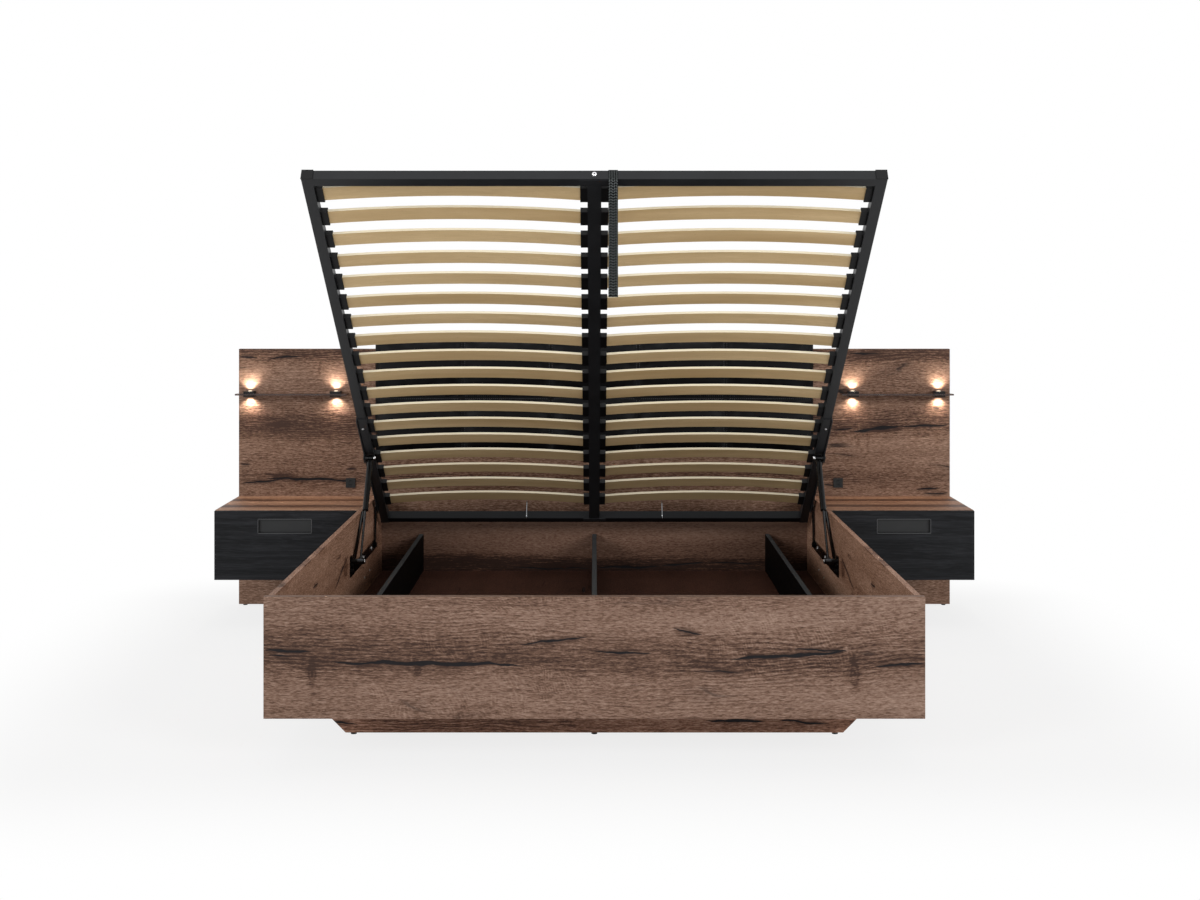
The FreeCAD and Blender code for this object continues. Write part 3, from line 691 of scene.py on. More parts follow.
@dataclass(frozen=True)
class LampLens:
    """Lit lens of a shelf lamp: warm white, paler at its middle."""

    name: str
    colour: Colour = (1.0, 0.78, 0.52)
    middle: Colour = (1.0, 0.93, 0.8)
    unlit: Colour = (0.9, 0.85, 0.75)
    strength: float = 2.5
    prism_scale: float = 700.0

    def build(self) -> bpy.types.Material:
        """Glowing lens with a fine prism pattern.

        Returns:
            The material.
        """
        tree = Tree(self.name)
        prisms = Layer(self.prism_scale, self.prism_scale, self.prism_scale, 1.0).read(*tree.place())
        glow = tree.mix(prisms, self.colour, self.middle)
        return tree.surface(self.unlit, 0.3, tree.bump(prisms, 0.1 * MM, 0.4),
                            more={"Emission Color": glow, "Emission Strength": self.strength})


@dataclass(frozen=True)
class Webbing:
    """Woven strap: rows of slanted ribs along the strap, read from its own map."""

    name: str
    thread: Colour = linear(88, 92, 92)
    gap: Colour = linear(1, 1, 1)
    ribs_across: float = 4.0
    rib_pitch: float = 7.5 * MM

    def build(self) -> bpy.types.Material:
        """Strap finish; the map's first axis is metres along the strap, its second the share across it.

        Returns:
            The material.
        """
        tree = Tree(self.name)
        run, across, _ = tree.place("UV")
        turns = across * (self.ribs_across * math.pi)
        weave = abs(turns.math("SINE")) * 0.5
        slant = (run * (FULL_TURN / self.rib_pitch) + turns.math("COSINE") * 1.6).math("SINE") * 0.5 + 0.5
        fuzz = Layer(900.0, 40.0, 0.0).read(run, across, 0.0)
        height = weave + slant * 0.7 + fuzz * 0.2
        colour = tree.mix(height.rise(0.72, 1.15), self.gap, self.thread)
        return tree.surface(colour, 0.78 + fuzz * 0.15, tree.bump(height, 0.5 * MM, 0.9), 0.06)


@dataclass(frozen=True)
class Upholstery:
    """Black cover of the back cushion: a fine pebbled hide with creases and a slight sheen."""

    name: str
    colour: Colour = linear(6, 6, 7)
    pebble_scale: float = 520.0

    def build(self) -> bpy.types.Material:
        """Cover finish with pebbles, pores and soft patches of wear.

        Returns:
            The material.
        """
        tree = Tree(self.name)
        point = tree.vector(*tree.place())
        cells = tree.node("ShaderNodeTexVoronoi", {"feature": "SMOOTH_F1"},
                          {"Vector": point, "Scale": self.pebble_scale, "Smoothness": 0.6})
        wear = tree.noise(point, 4.0, 0.6, 7.0)
        crease = tree.noise(point, 3.0, 0.65, 90.0)
        share = wear.rise(0.35, 0.7) * 0.7 + crease * 0.3
        colour = tree.mix(share, scaled(self.colour, 0.72), scaled(self.colour, 1.35))
        height = 1.0 - cells + crease * 0.5
        return tree.surface(colour, 0.4 + wear * 0.2, tree.bump(height, 0.4 * MM, 0.5), 0.1)


@dataclass
class Patch:
    """Grid of points, (rows, columns, 3), that may close on itself along its rows or its columns."""

    points: np.ndarray
    round_rows: bool = False
    round_columns: bool = False

    def faces(self) -> np.ndarray:
        """Quads between neighbouring points.

        Returns:
            Rows of four indices.
        """
        rows, columns = self.points.shape[:2]
        index = np.arange(rows * columns).reshape(rows, columns)
        if self.round_rows:
            index = np.concatenate((index, index[:1]), axis=0)
        if self.round_columns:
            index = np.concatenate((index, index[:, :1]), axis=1)
        quads = (index[:-1, :-1], index[:-1, 1:], index[1:, 1:], index[1:, :-1])
        return np.stack([quad.ravel() for quad in quads], axis=1)

    def repeated(self, shifts: np.ndarray) -> list["Patch"]:
        """Copies of the grid, one moved by each row of shifts."""
        return [Patch(self.points + shift, self.round_rows, self.round_columns) for shift in shifts]


def turned_patch(radii: Sequence[float], heights: Sequence[float], steps: int, axis: int = 2) -> Patch:
    """Surface of revolution: ring i has radius radii[i] at heights[i] along the axis.

    Args:
        radii: radius of each ring.
        heights: place of each ring along the axis.
        steps: points round a ring.
        axis: index of the axis that it is turned about.

    Returns:
        The grid, closed round its columns.
    """
    angle = np.linspace(0, FULL_TURN, steps, endpoint=False)
    radius = np.asarray(radii, float)[:, None]
    rings = [radius * np.cos(angle), radius * np.sin(angle),
             np.broadcast_to(np.asarray(heights, float)[:, None], (len(radii), steps))]
    order = {0: (2, 0, 1), 1: (1, 2, 0), 2: (0, 1, 2)}[axis]
    return Patch(np.stack([rings[k] for k in order], axis=2), round_columns=True)


def carried_patch(path: np.ndarray, profile: np.ndarray, side: Sequence[float],
                  closed_path: bool = False) -> Patch:
    """Profile carried along a path in a plane, square to the path.

    Point (i, j) is path[i] + profile[j, 0] * side + profile[j, 1] * normal[i], where normal is the
    path's direction turned a quarter round the side axis.

    Args:
        path: points of the path, (n, 3).
        profile: closed outline, (m, 2), as distance along the side axis and along the normal.
        side: unit axis square to the path's plane.
        closed_path: whether the path returns to its start.

    Returns:
        The grid, closed round its columns.
    """
    if closed_path:
        ahead, behind = np.roll(path, -1, axis=0), np.roll(path, 1, axis=0)
    else:
        ahead, behind = np.vstack((path[1:], path[-1:])), np.vstack((path[:1], path[:-1]))
    run = ahead - behind
    run /= np.linalg.norm(run, axis=1, keepdims=True)
    normal = np.cross(np.asarray(side, float), run)
    points = (path[:, None] + profile[None, :, :1] * np.asarray(side, float)
              + profile[None, :, 1:] * normal[:, None])
    return Patch(points, round_rows=closed_path, round_columns=True)


def rounded_outline(width: float, height: float, corner: float, steps: int = 4) -> np.ndarray:
    """Outline of a rectangle with round corners, centred on zero.

    Each corner is a quarter circle about a point set in by the corner's radius.

    Args:
        width: full width, along the first axis.
        height: full height, along the second axis.
        corner: radius of the corners.
        steps: points on each corner.

    Returns:
        Points of the outline, (4 * steps, 2), counter-clockwise.
    """
    angle = np.linspace(0, math.pi / 2, steps)[None] + np.arange(4)[:, None] * math.pi / 2
    centre = np.array(((1, 1), (-1, 1), (-1, -1), (1, -1))) * (width / 2 - corner, height / 2 - corner)
    points = centre[:, None] + corner * np.stack((np.cos(angle), np.sin(angle)), axis=2)
    return points.reshape(-1, 2)


def capped(patch: Patch) -> list[Patch]:
    """Close a tube with a flat cap at each end, which runs from the middle of the end ring to the ring.

    Args:
        patch: the tube.

    Returns:
        The tube and its two caps.
    """
    first, last = patch.points[0], patch.points[-1]
    caps = [Patch(np.stack((np.broadcast_to(ring.mean(0), ring.shape), ring)), round_columns=True)
            for ring in (first, last)]
    caps[1].points = caps[1].points[::-1]
    return [patch, *caps]


def aimed(patch: Patch, centre: Sequence[float], axis: Sequence[float]) -> Patch:
    """Grid made about zero and Z, moved to a centre with its Z along an axis.

    Args:
        patch: the grid.
        centre: where its zero goes.
        axis: where its Z points.

    Returns:
        The moved grid.
    """
    third = np.asarray(axis, float) / np.linalg.norm(axis)
    first = np.cross(third, (1.0, 0.0, 0.0) if abs(third[0]) < 0.9 else (0.0, 1.0, 0.0))
    first /= np.linalg.norm(first)
    basis = np.stack((first, np.cross(third, first), third))
    return Patch(np.asarray(centre) + patch.points @ basis, patch.round_rows, patch.round_columns)


def pin(radius: float, length: float, steps: int = 20) -> Patch:
    """Round pin along Z from zero, with its ends chamfered by a tenth of the radius.

    Args:
        radius: its radius.
        length: its length.
        steps: points round it.

    Returns:
        The grid.
    """
    cut = radius * 0.1
    radii = (0, radius - cut, radius, radius, radius - cut, 0)
    return turned_patch(radii, (0, 0, cut, length - cut, length, length), steps)


def round_head(radius: float, height: float, steps: int = 20) -> Patch:
    """Domed head about Z: over a quarter turn its radius follows the cosine and its height the sine."""
    turn = np.linspace(0, math.pi / 2, 6)
    return turned_patch((0, *(radius * np.cos(turn))), (0, *(height * np.sin(turn))), steps)


def beads(radius: float, length: float, rings: int, axis: int, shifts: np.ndarray) -> list[Patch]:
    """Short threads: each ring's radius follows the root of 1 - s ** 2, with s from -1 to 1 along the thread.

    Args:
        radius: half the thread's thickness.
        length: the thread's length.
        rings: rings along it.
        axis: index of the axis that it lies along.
        shifts: middle of each thread, (n, 3).

    Returns:
        One grid for each thread.
    """
    share = np.linspace(-1, 1, rings)
    girth = radius * np.sqrt((1 - share ** 2).clip(min=0))
    return turned_patch(girth, share * length / 2, 6, axis).repeated(shifts)


def vertices(mesh: bpy.types.Mesh) -> np.ndarray:
    """Places of a mesh's vertices.

    Args:
        mesh: the mesh.

    Returns:
        The places, (n, 3).
    """
    flat = np.empty(3 * len(mesh.vertices))
    mesh.vertices.foreach_get("co", flat)
    return flat.reshape(-1, 3)


def side_view(node: str) -> np.ndarray:
    """Y and Z of a CAD piece's vertices, (n, 2)."""
    return vertices(bpy.data.objects[node].data)[:, 1:]


def corners(node: str) -> tuple[np.ndarray, np.ndarray]:
    """Lowest and highest corner of a CAD piece at rest."""
    low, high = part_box(node)
    return np.array(low), np.array(high)


def put(name: str, data: bpy.types.ID, place: Sequence[float] = (0.0, 0.0, 0.0),
        turn: Sequence[float] = (0.0, 0.0, 0.0)) -> bpy.types.Object:
    """Add an object to the scene.

    Args:
        name: its name.
        data: its mesh, light or camera.
        place: where it stands.
        turn: its Euler angles.

    Returns:
        The object.
    """
    item = bpy.data.objects.new(name, data)
    item.location = place
    item.rotation_euler = turn
    bpy.context.scene.collection.objects.link(item)
    return item


def piece(name: str, patches: Iterable[Patch], material: bpy.types.Material, body: str,
          smooth: bool = True, chart: Callable[[np.ndarray], np.ndarray] | None = None) -> bpy.types.Object:
    """Object made of grids, welded where they meet, with its faces turned outwards.

    Args:
        name: the object's name.
        patches: its grids.
        material: its finish.
        body: the CAD body that it moves with.
        smooth: whether its faces shade smoothly.
        chart: gives the texture map's places, (n, 2), of points, (n, 3).

    Returns:
        The object.
    """
    points, faces, start = [], [], 0
    for patch in patches:
        points.append(patch.points.reshape(-1, 3))
        faces.append(patch.faces() + start)
        start += len(points[-1])
    mesh = bpy.data.meshes.new(name)
    mesh.from_pydata(np.concatenate(points).tolist(), [], np.concatenate(faces).tolist())
    shape = bmesh.new()
    shape.from_mesh(mesh)
    bmesh.ops.remove_doubles(shape, verts=shape.verts, dist=WELD)
    bmesh.ops.dissolve_degenerate(shape, edges=shape.edges, dist=WELD)
    bmesh.ops.recalc_face_normals(shape, faces=shape.faces)
    shape.to_mesh(mesh)
    shape.free()
    mesh.polygons.foreach_set("use_smooth", np.full(len(mesh.polygons), smooth))
    mesh.materials.append(material)
    if chart:
        corner_vertex = np.empty(len(mesh.loops), np.int32)
        mesh.loops.foreach_get("vertex_index", corner_vertex)
        places = chart(vertices(mesh))[corner_vertex].astype(np.float32)
        mesh.uv_layers.new(name="UVMap").data.foreach_set("uv", places.ravel())
    item = put(name, mesh)
    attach(item, body)
    LOG.info("%s: %d faces on %s", name, len(mesh.polygons), body)
    return item


CLOTH = {"quality": 5, "mass": 0.25, "tension_stiffness": 18, "compression_stiffness": 18,
         "shear_stiffness": 6, "bending_stiffness": 0.6, "vertex_group_mass": "held", "use_pressure": True,
         "shrink_min": -0.03}


@dataclass
class BackCushion:
    """Sewn cushion of the headboard: cells that swell between double-stitched seams."""

    cover: bpy.types.Material
    thread: bpy.types.Material
    columns: int = 5
    rows: int = 2
    steps_across: int = 28
    steps_up: int = 20
    side_steps: int = 6
    seam_half: float = 5.5 * MM
    seam_depth: float = 27 * MM
    crown: float = 14 * MM
    travel: float = 12 * MM
    pressure: float = 3.5
    frames: int = 18
    stitch_pitch: float = 7.5 * MM
    stitch_length: float = 4.4 * MM
    stitch_radius: float = 0.6 * MM
    stitch_sink: float = 0.3 * MM
    stitch_margin: float = 9 * MM
    draw_in: float = 6 * MM
    back_hold: float = 8 * MM
    fullness_power: float = 2.4
    seam_dip: float = -0.12
    seams_x: np.ndarray = field(init=False)
    seams_z: np.ndarray = field(init=False)

    def __post_init__(self) -> None:
        """Read the cushion's box, and share it into cells."""
        self.low, self.high = corners("headboard_cushion")
        self.seams_x = np.linspace(self.low[0], self.high[0], self.columns + 1)[1:-1]
        self.seams_z = np.linspace(self.low[2], self.high[2], self.rows + 1)[1:-1]

    def build(self) -> None:
        """Make the cushion and its stitches."""
        item = piece("back_cushion", self._shell(), self.cover, "base")
        self._swell(item)
        smooth = item.modifiers.new("smooth", "SUBSURF")
        smooth.levels = smooth.render_levels = 1
        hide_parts("headboard_cushion")
        piece("cushion_stitches", self._stitches(), self.thread, "base")

    def _marks(self, axis: int, seams: np.ndarray, steps: int) -> tuple[np.ndarray, np.ndarray]:
        """Grid lines along one side, and how full the cell is at each.

        A cell's fullness is 1 - |2 s - 1| ** 2.4, where s is the share of the way across the cell. It is
        0 on the stitch lines, and dips a little below 0 on the seam between them.

        Args:
            axis: index of the side's axis.
            seams: places of the seams between.
            steps: steps across a cell.

        Returns:
            Places of the lines, and the fullness there.
        """
        starts = np.concatenate(([self.low[axis]], seams + self.seam_half))
        ends = np.concatenate((seams - self.seam_half, [self.high[axis]]))
        share = np.linspace(0, 1, steps + 1)
        lines = starts[:, None] + (ends - starts)[:, None] * share
        full = np.broadcast_to(1 - np.abs(2 * share - 1) ** self.fullness_power, lines.shape)
        places = np.concatenate((lines.ravel(), seams))
        fullness = np.concatenate((full.ravel(), np.full(len(seams), self.seam_dip)))
        order = np.argsort(places)
        return places[order], fullness[order]

    def _shell(self) -> list[Patch]:
        """Front, back and sides before they swell.

        The front stands off the board by the seam depth plus the crown times the root of both fullnesses'
        product, and is drawn in a little. The sides run straight from its rim to the back.

        Returns:
            The three grids.
        """
        x, full_x = self._marks(0, self.seams_x, self.steps_across)
        z, full_z = self._marks(2, self.seams_z, self.steps_up)
        fullness = full_z[:, None] * full_x
        dip = np.minimum(full_z[:, None], full_x).clip(max=0)
        depth = self.seam_depth + self.crown * (np.sqrt(fullness.clip(min=0)) + dip)
        grid_x, grid_z = np.broadcast_arrays(x, z[:, None])
        front = np.stack((grid_x * self._pull(0), self.high[1] - depth, self._across(grid_z)), axis=2)
        back = np.stack((grid_x, np.full_like(depth, self.high[1]), grid_z), axis=2)
        rim, foot = (np.concatenate((sheet[0, :-1], sheet[:-1, -1], sheet[-1, :0:-1], sheet[:0:-1, 0]))
                     for sheet in (front, back))
        share = np.linspace(0, 1, self.side_steps + 1)[:, None, None]
        return [Patch(front), Patch(back[:, ::-1]), Patch(rim + (foot - rim) * share, round_columns=True)]

    def _swell(self, item: bpy.types.Object) -> None:
        """Blow the cells up with a cloth run, keep each point within its travel, and write the result back.

        Args:
            item: the cushion, whose mesh is changed.
        """
        rest = vertices(item.data)
        near = self.seam_half * 1.2
        seam = np.abs(rest[:, :1] - self.seams_x * self._pull(0)).min(1) < near
        seam |= np.abs(rest[:, 2:] - self._across(self.seams_z)).min(1) < near
        held = seam | (rest[:, 1] > self.high[1] - self.back_hold)
        group = item.vertex_groups.new(name="held")
        group.add(np.flatnonzero(held).tolist(), 1.0, "REPLACE")
        cloth = item.modifiers.new("swell", "CLOTH")
        for name, setting in CLOTH.items():
            setattr(cloth.settings, name, setting)
        cloth.settings.uniform_pressure_force = self.pressure
        cloth.settings.effector_weights.gravity = 0
        cloth.collision_settings.use_collision = False
        scene = bpy.context.scene
        for number in range(1, self.frames + 1):
            scene.frame_set(number)
        shaped = item.evaluated_get(bpy.context.evaluated_depsgraph_get()).to_mesh()
        move = vertices(shaped) - rest
        length = np.linalg.norm(move, axis=1, keepdims=True)
        move *= self.travel * np.tanh(length / self.travel) / length.clip(min=1e-9)
        item.modifiers.remove(cloth)
        item.data.vertices.foreach_set("co", (rest + move).ravel())
        item.data.update()
        scene.frame_set(1)
        LOG.info("cushion moved %.1f mm at most", 1000 * np.linalg.norm(move, axis=1).max())

    def _pull(self, axis: int) -> float:
        """Share by which the front is drawn in along an axis."""
        half = (self.high[axis] - self.low[axis]) / 2
        return 1 - self.draw_in / half

    def _across(self, z: np.ndarray) -> np.ndarray:
        """Heights on the front of places on the back."""
        centre = (self.low[2] + self.high[2]) / 2
        return centre + (z - centre) * self._pull(2)

    def _stitches(self) -> list[Patch]:
        """Short threads along both sides of every seam, on the cover's held lines.

        Returns:
            One grid for each thread.
        """
        threads: list[Patch] = []
        depth = self.high[1] - self.seam_depth - self.stitch_sink
        rows = ((2, self.seams_x * self._pull(0), self.seams_z),
                (0, self._across(self.seams_z), self.seams_x))
        for axis, seams, lines in rows:
            low, high = self.low[axis] + self.stitch_margin, self.high[axis] - self.stitch_margin
            run = np.arange(low, high, self.stitch_pitch)
            run = run[np.abs(run[:, None] - lines).min(1) > 2 * self.seam_half]
            level = np.concatenate((seams - self.seam_half, seams + self.seam_half))
            level, run = (grid.ravel() for grid in np.meshgrid(level, run))
            flat = np.full_like(run, depth)
            shifts = np.stack((level, flat, run) if axis == 2 else (run, flat, level), axis=1)
            threads += beads(self.stitch_radius, self.stitch_length, 7, axis, shifts)
        return threads


@dataclass
class PullStrap:
    """Woven strap on the foot bar: a loop round the tilted bar, and a doubled tail that hangs from it."""

    webbing: bpy.types.Material
    thread: bpy.types.Material
    thickness: float = 1.7 * MM
    play: float = 0.25 * MM
    path_steps: int = 10
    tail_steps: int = 60
    fold_steps: int = 14
    corner: float = 0.6 * MM
    tail_drop: float = 1.5 * MM
    fold_rise: float = 13 * MM
    clear: float = 0.3 * MM
    layer_gap: float = 0.5 * MM
    sway: float = 2.5 * MM
    sewn_box: float = 24 * MM
    sewn_inset: float = 3 * MM
    sewn_top: float = 6 * MM
    fold_rows: Pair = (8 * MM, 13 * MM)
    stitch_proud: float = 0.1 * MM
    stitch_radius: float = 0.45 * MM
    stitch_length: float = 3 * MM

    def __post_init__(self) -> None:
        """Read the strap's box and the tilted bar's four edges."""
        self.low, self.high = corners("pull_strap")
        self.width = self.high[0] - self.low[0]
        self.middle = (self.high[0] + self.low[0]) / 2
        points = side_view("foot_bar")
        picks = (points[:, 0].argmin(), points[:, 1].argmin(), points[:, 0].argmax(), points[:, 1].argmax())
        self.edges = points[list(picks)]

    def build(self) -> None:
        """Make the loop and the tail."""
        profile = rounded_outline(self.width, self.thickness, self.corner)
        ring = self._ring()
        loop = piece("strap_loop", [carried_patch(ring, profile, (1, 0, 0), closed_path=True)], self.webbing,
                     "lift_frame", chart=self._loop_chart)
        hang = self._tail()
        tail = piece("strap_tail", capped(carried_patch(hang, profile, (1, 0, 0))), self.webbing,
                     "lift_frame", chart=self._tail_chart)
        for item, path, closed in ((loop, ring, True), (tail, hang, False)):
            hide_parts("pull_strap")
        stitches = piece("strap_stitches", self._stitches(hang), self.thread, "lift_frame")
        for item in (tail, stitches):
            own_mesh(item)

    def _ring(self) -> np.ndarray:
        """Path round the bar: its four edges set out by play and half the strap, with round corners.

        Each corner is an arc about the bar's edge, between the directions of the two faces that meet there.

        Returns:
            Points of the closed path, (n, 3).
        """
        reach = self.play + self.thickness / 2
        ahead = np.roll(self.edges, -1, axis=0) - self.edges
        face = np.arctan2(-ahead[:, 0], ahead[:, 1])
        start = np.roll(face, 1)
        turn = (face - start + math.pi) % FULL_TURN - math.pi
        angle = start[:, None] + turn[:, None] * np.linspace(0, 1, self.path_steps)
        if (np.cos(angle[0, 0]) * (self.edges[0] - self.edges.mean(0))[0]) < 0:
            angle += math.pi
        arcs = self.edges[:, None] + reach * np.stack((np.cos(angle), np.sin(angle)), axis=2)
        flat = arcs.reshape(-1, 2)
        return np.column_stack((np.full(len(flat), self.middle), flat))

    def _tail(self) -> np.ndarray:
        """Path of the tail: down in front from the bar's lower front edge, round a fold, and up behind.

        The tail sways a little, by a sine along its length, and the two layers part slightly at the fold.

        Returns:
            Points of the path, (n, 3).
        """
        top = self.edges[0, 1] - self.tail_drop
        bottom = self.low[2] + self.fold_rise
        front = self.edges[0, 0] - self.play - self.thickness * 1.5 - self.clear
        gap = self.thickness + self.layer_gap
        share = np.linspace(0, 1, self.tail_steps)
        sway = self.sway * np.sin(share * math.pi * 1.4) * share
        down = np.stack((front + sway, top + (bottom - top) * share), axis=1)
        angle = np.linspace(math.pi, FULL_TURN, self.fold_steps)[1:-1]
        fold = down[-1] + (gap / 2, 0) + gap / 2 * np.stack((np.cos(angle), np.sin(angle)), axis=1)
        up = down[::-1] + (gap, 0)
        flat = np.concatenate((down, fold, up))
        return np.column_stack((np.full(len(flat), self.middle), flat))

    def _loop_chart(self, points: np.ndarray) -> np.ndarray:
        """Map of the loop: turn round the bar times its mean reach, and the share across.

        Args:
            points: the loop's points, (n, 3).

        Returns:
            Their places on the map, (n, 2).
        """
        off = points[:, 1:] - self.edges.mean(0)
        turn = np.arctan2(off[:, 1], off[:, 0]) * np.linalg.norm(off, axis=1).mean()
        return np.stack((turn, (points[:, 0] - self.low[0]) / self.width), axis=1)

    def _tail_chart(self, points: np.ndarray) -> np.ndarray:
        """Map of the tail: height, and the share across."""
        return np.stack((points[:, 2], (points[:, 0] - self.low[0]) / self.width), axis=1)

    def _stitches(self, hang: np.ndarray) -> list[Patch]:
        """Sewn box with a cross at the tail's top, and two rows at its fold, as short threads in front.

        Args:
            hang: the tail's path.

        Returns:
            One grid for each thread.
        """
        reach = self.width / 2 - self.sewn_inset
        top, bottom = hang[:, 2].max() - self.sewn_top, hang[:, 2].min()
        row = np.linspace(-reach, reach, 6)
        column = np.linspace(0, self.sewn_box, 7)
        levels = (top, top - self.sewn_box, *(bottom + rise for rise in self.fold_rows))
        rows = np.array([(x, z) for z in levels for x in row])
        sides = np.array([(x, top - z) for x in (-reach, reach) for z in column])
        slant = np.array([(s * reach * (1 - 2 * z / self.sewn_box), top - z)
                          for s in (-1, 1) for z in column[1:-1]])
        front = hang[:self.tail_steps]
        threads: list[Patch] = []
        for axis, places in ((0, rows), (2, sides), (2, slant)):
            depth = np.interp(-places[:, 1], -front[:, 2], front[:, 1]) - self.thickness / 2
            depth -= self.stitch_proud
            shifts = np.column_stack((self.middle + places[:, 0], depth, places[:, 1]))
            threads += beads(self.stitch_radius, self.stitch_length, 5, axis, shifts)
        return threads


@dataclass
class ShelfLamps:
    """Lit lenses above and below each shelf clip, with the light that they throw on the board."""

    lens: bpy.types.Material
    clips: tuple[float, ...] = (0.983, 1.310)
    radius: float = 8 * MM
    steps: int = 24
    watts: float = 1.6
    colour: Colour = (1.0, 0.93, 0.82)
    board_gap: float = 12 * MM
    dome_rise: float = 1.2 * MM
    sunk: float = 0.4 * MM
    light_off: float = 5 * MM
    spread: float = math.radians(150)

    def build(self) -> None:
        """Make eight lenses and eight small lights.

        A lens is a dome on a short rim: its radius follows the cosine of a quarter turn, and its height
        the sine.
        """
        low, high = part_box("shelf_lamps")
        depth = high.y - self.board_gap
        turn = np.linspace(0, 1, 6) * math.pi / 2
        dome = turned_patch(self.radius * np.cos(turn), self.dome_rise * np.sin(turn), self.steps)
        base = turned_patch((0.0, self.radius), (-self.sunk, -self.sunk), self.steps)
        rim = turned_patch((self.radius, self.radius), (-self.sunk, 0.0), self.steps)
        places = [side * x for side in (-1, 1) for x in self.clips]
        patches: list[Patch] = []
        for height, way in ((high.z, 1), (low.z, -1)):
            shifts = np.array([(x, depth, height) for x in places])
            for part in (dome, base, rim):
                patches += Patch(part.points * (1, 1, way), round_columns=True).repeated(shifts)
            for x in places:
                self._light((x, depth, height + way * self.light_off), way)
        piece("lamp_lenses", patches, self.lens, "base")

    def _light(self, place: Sequence[float], way: int) -> None:
        """Add one spot that shines up or down the board.

        Args:
            place: where it is.
            way: 1 for up, and -1 for down.
        """
        data = bpy.data.lights.new("shelf_glow", "SPOT")
        data.energy = self.watts
        data.color = self.colour
        data.spot_size = self.spread
        data.spot_blend = 1.0
        data.shadow_soft_size = self.radius
        put("shelf_glow", data, place, (math.pi if way > 0 else 0.0, 0.0, 0.0))


@dataclass
class FramePlane:
    """Plane of the raised slatted frame: its head corner, and the ways along and out of it, as (Y, Z)."""

    head: np.ndarray
    along: np.ndarray
    out: np.ndarray

    @classmethod
    def read(cls) -> "FramePlane":
        """Take the plane from a side tube's lower edge.

        Returns:
            The plane.
        """
        points = side_view("left_side_tube")
        head, foot = points[points[:, 1].argmin()], points[points[:, 0].argmin()]
        along = (foot - head) / np.linalg.norm(foot - head)
        return cls(head, along, np.array((along[1], -along[0])))

    def point(self, x: float, along: float, out: float) -> np.ndarray:
        """Place in the frame of a point at X, some way along the plane and out of it."""
        return np.array((x, *(self.head + self.along * along + self.out * out)))

    def way(self, along: float, out: float) -> np.ndarray:
        """Direction in the frame, given along the plane and out of it."""
        return np.array((0.0, *(self.along * along + self.out * out)))


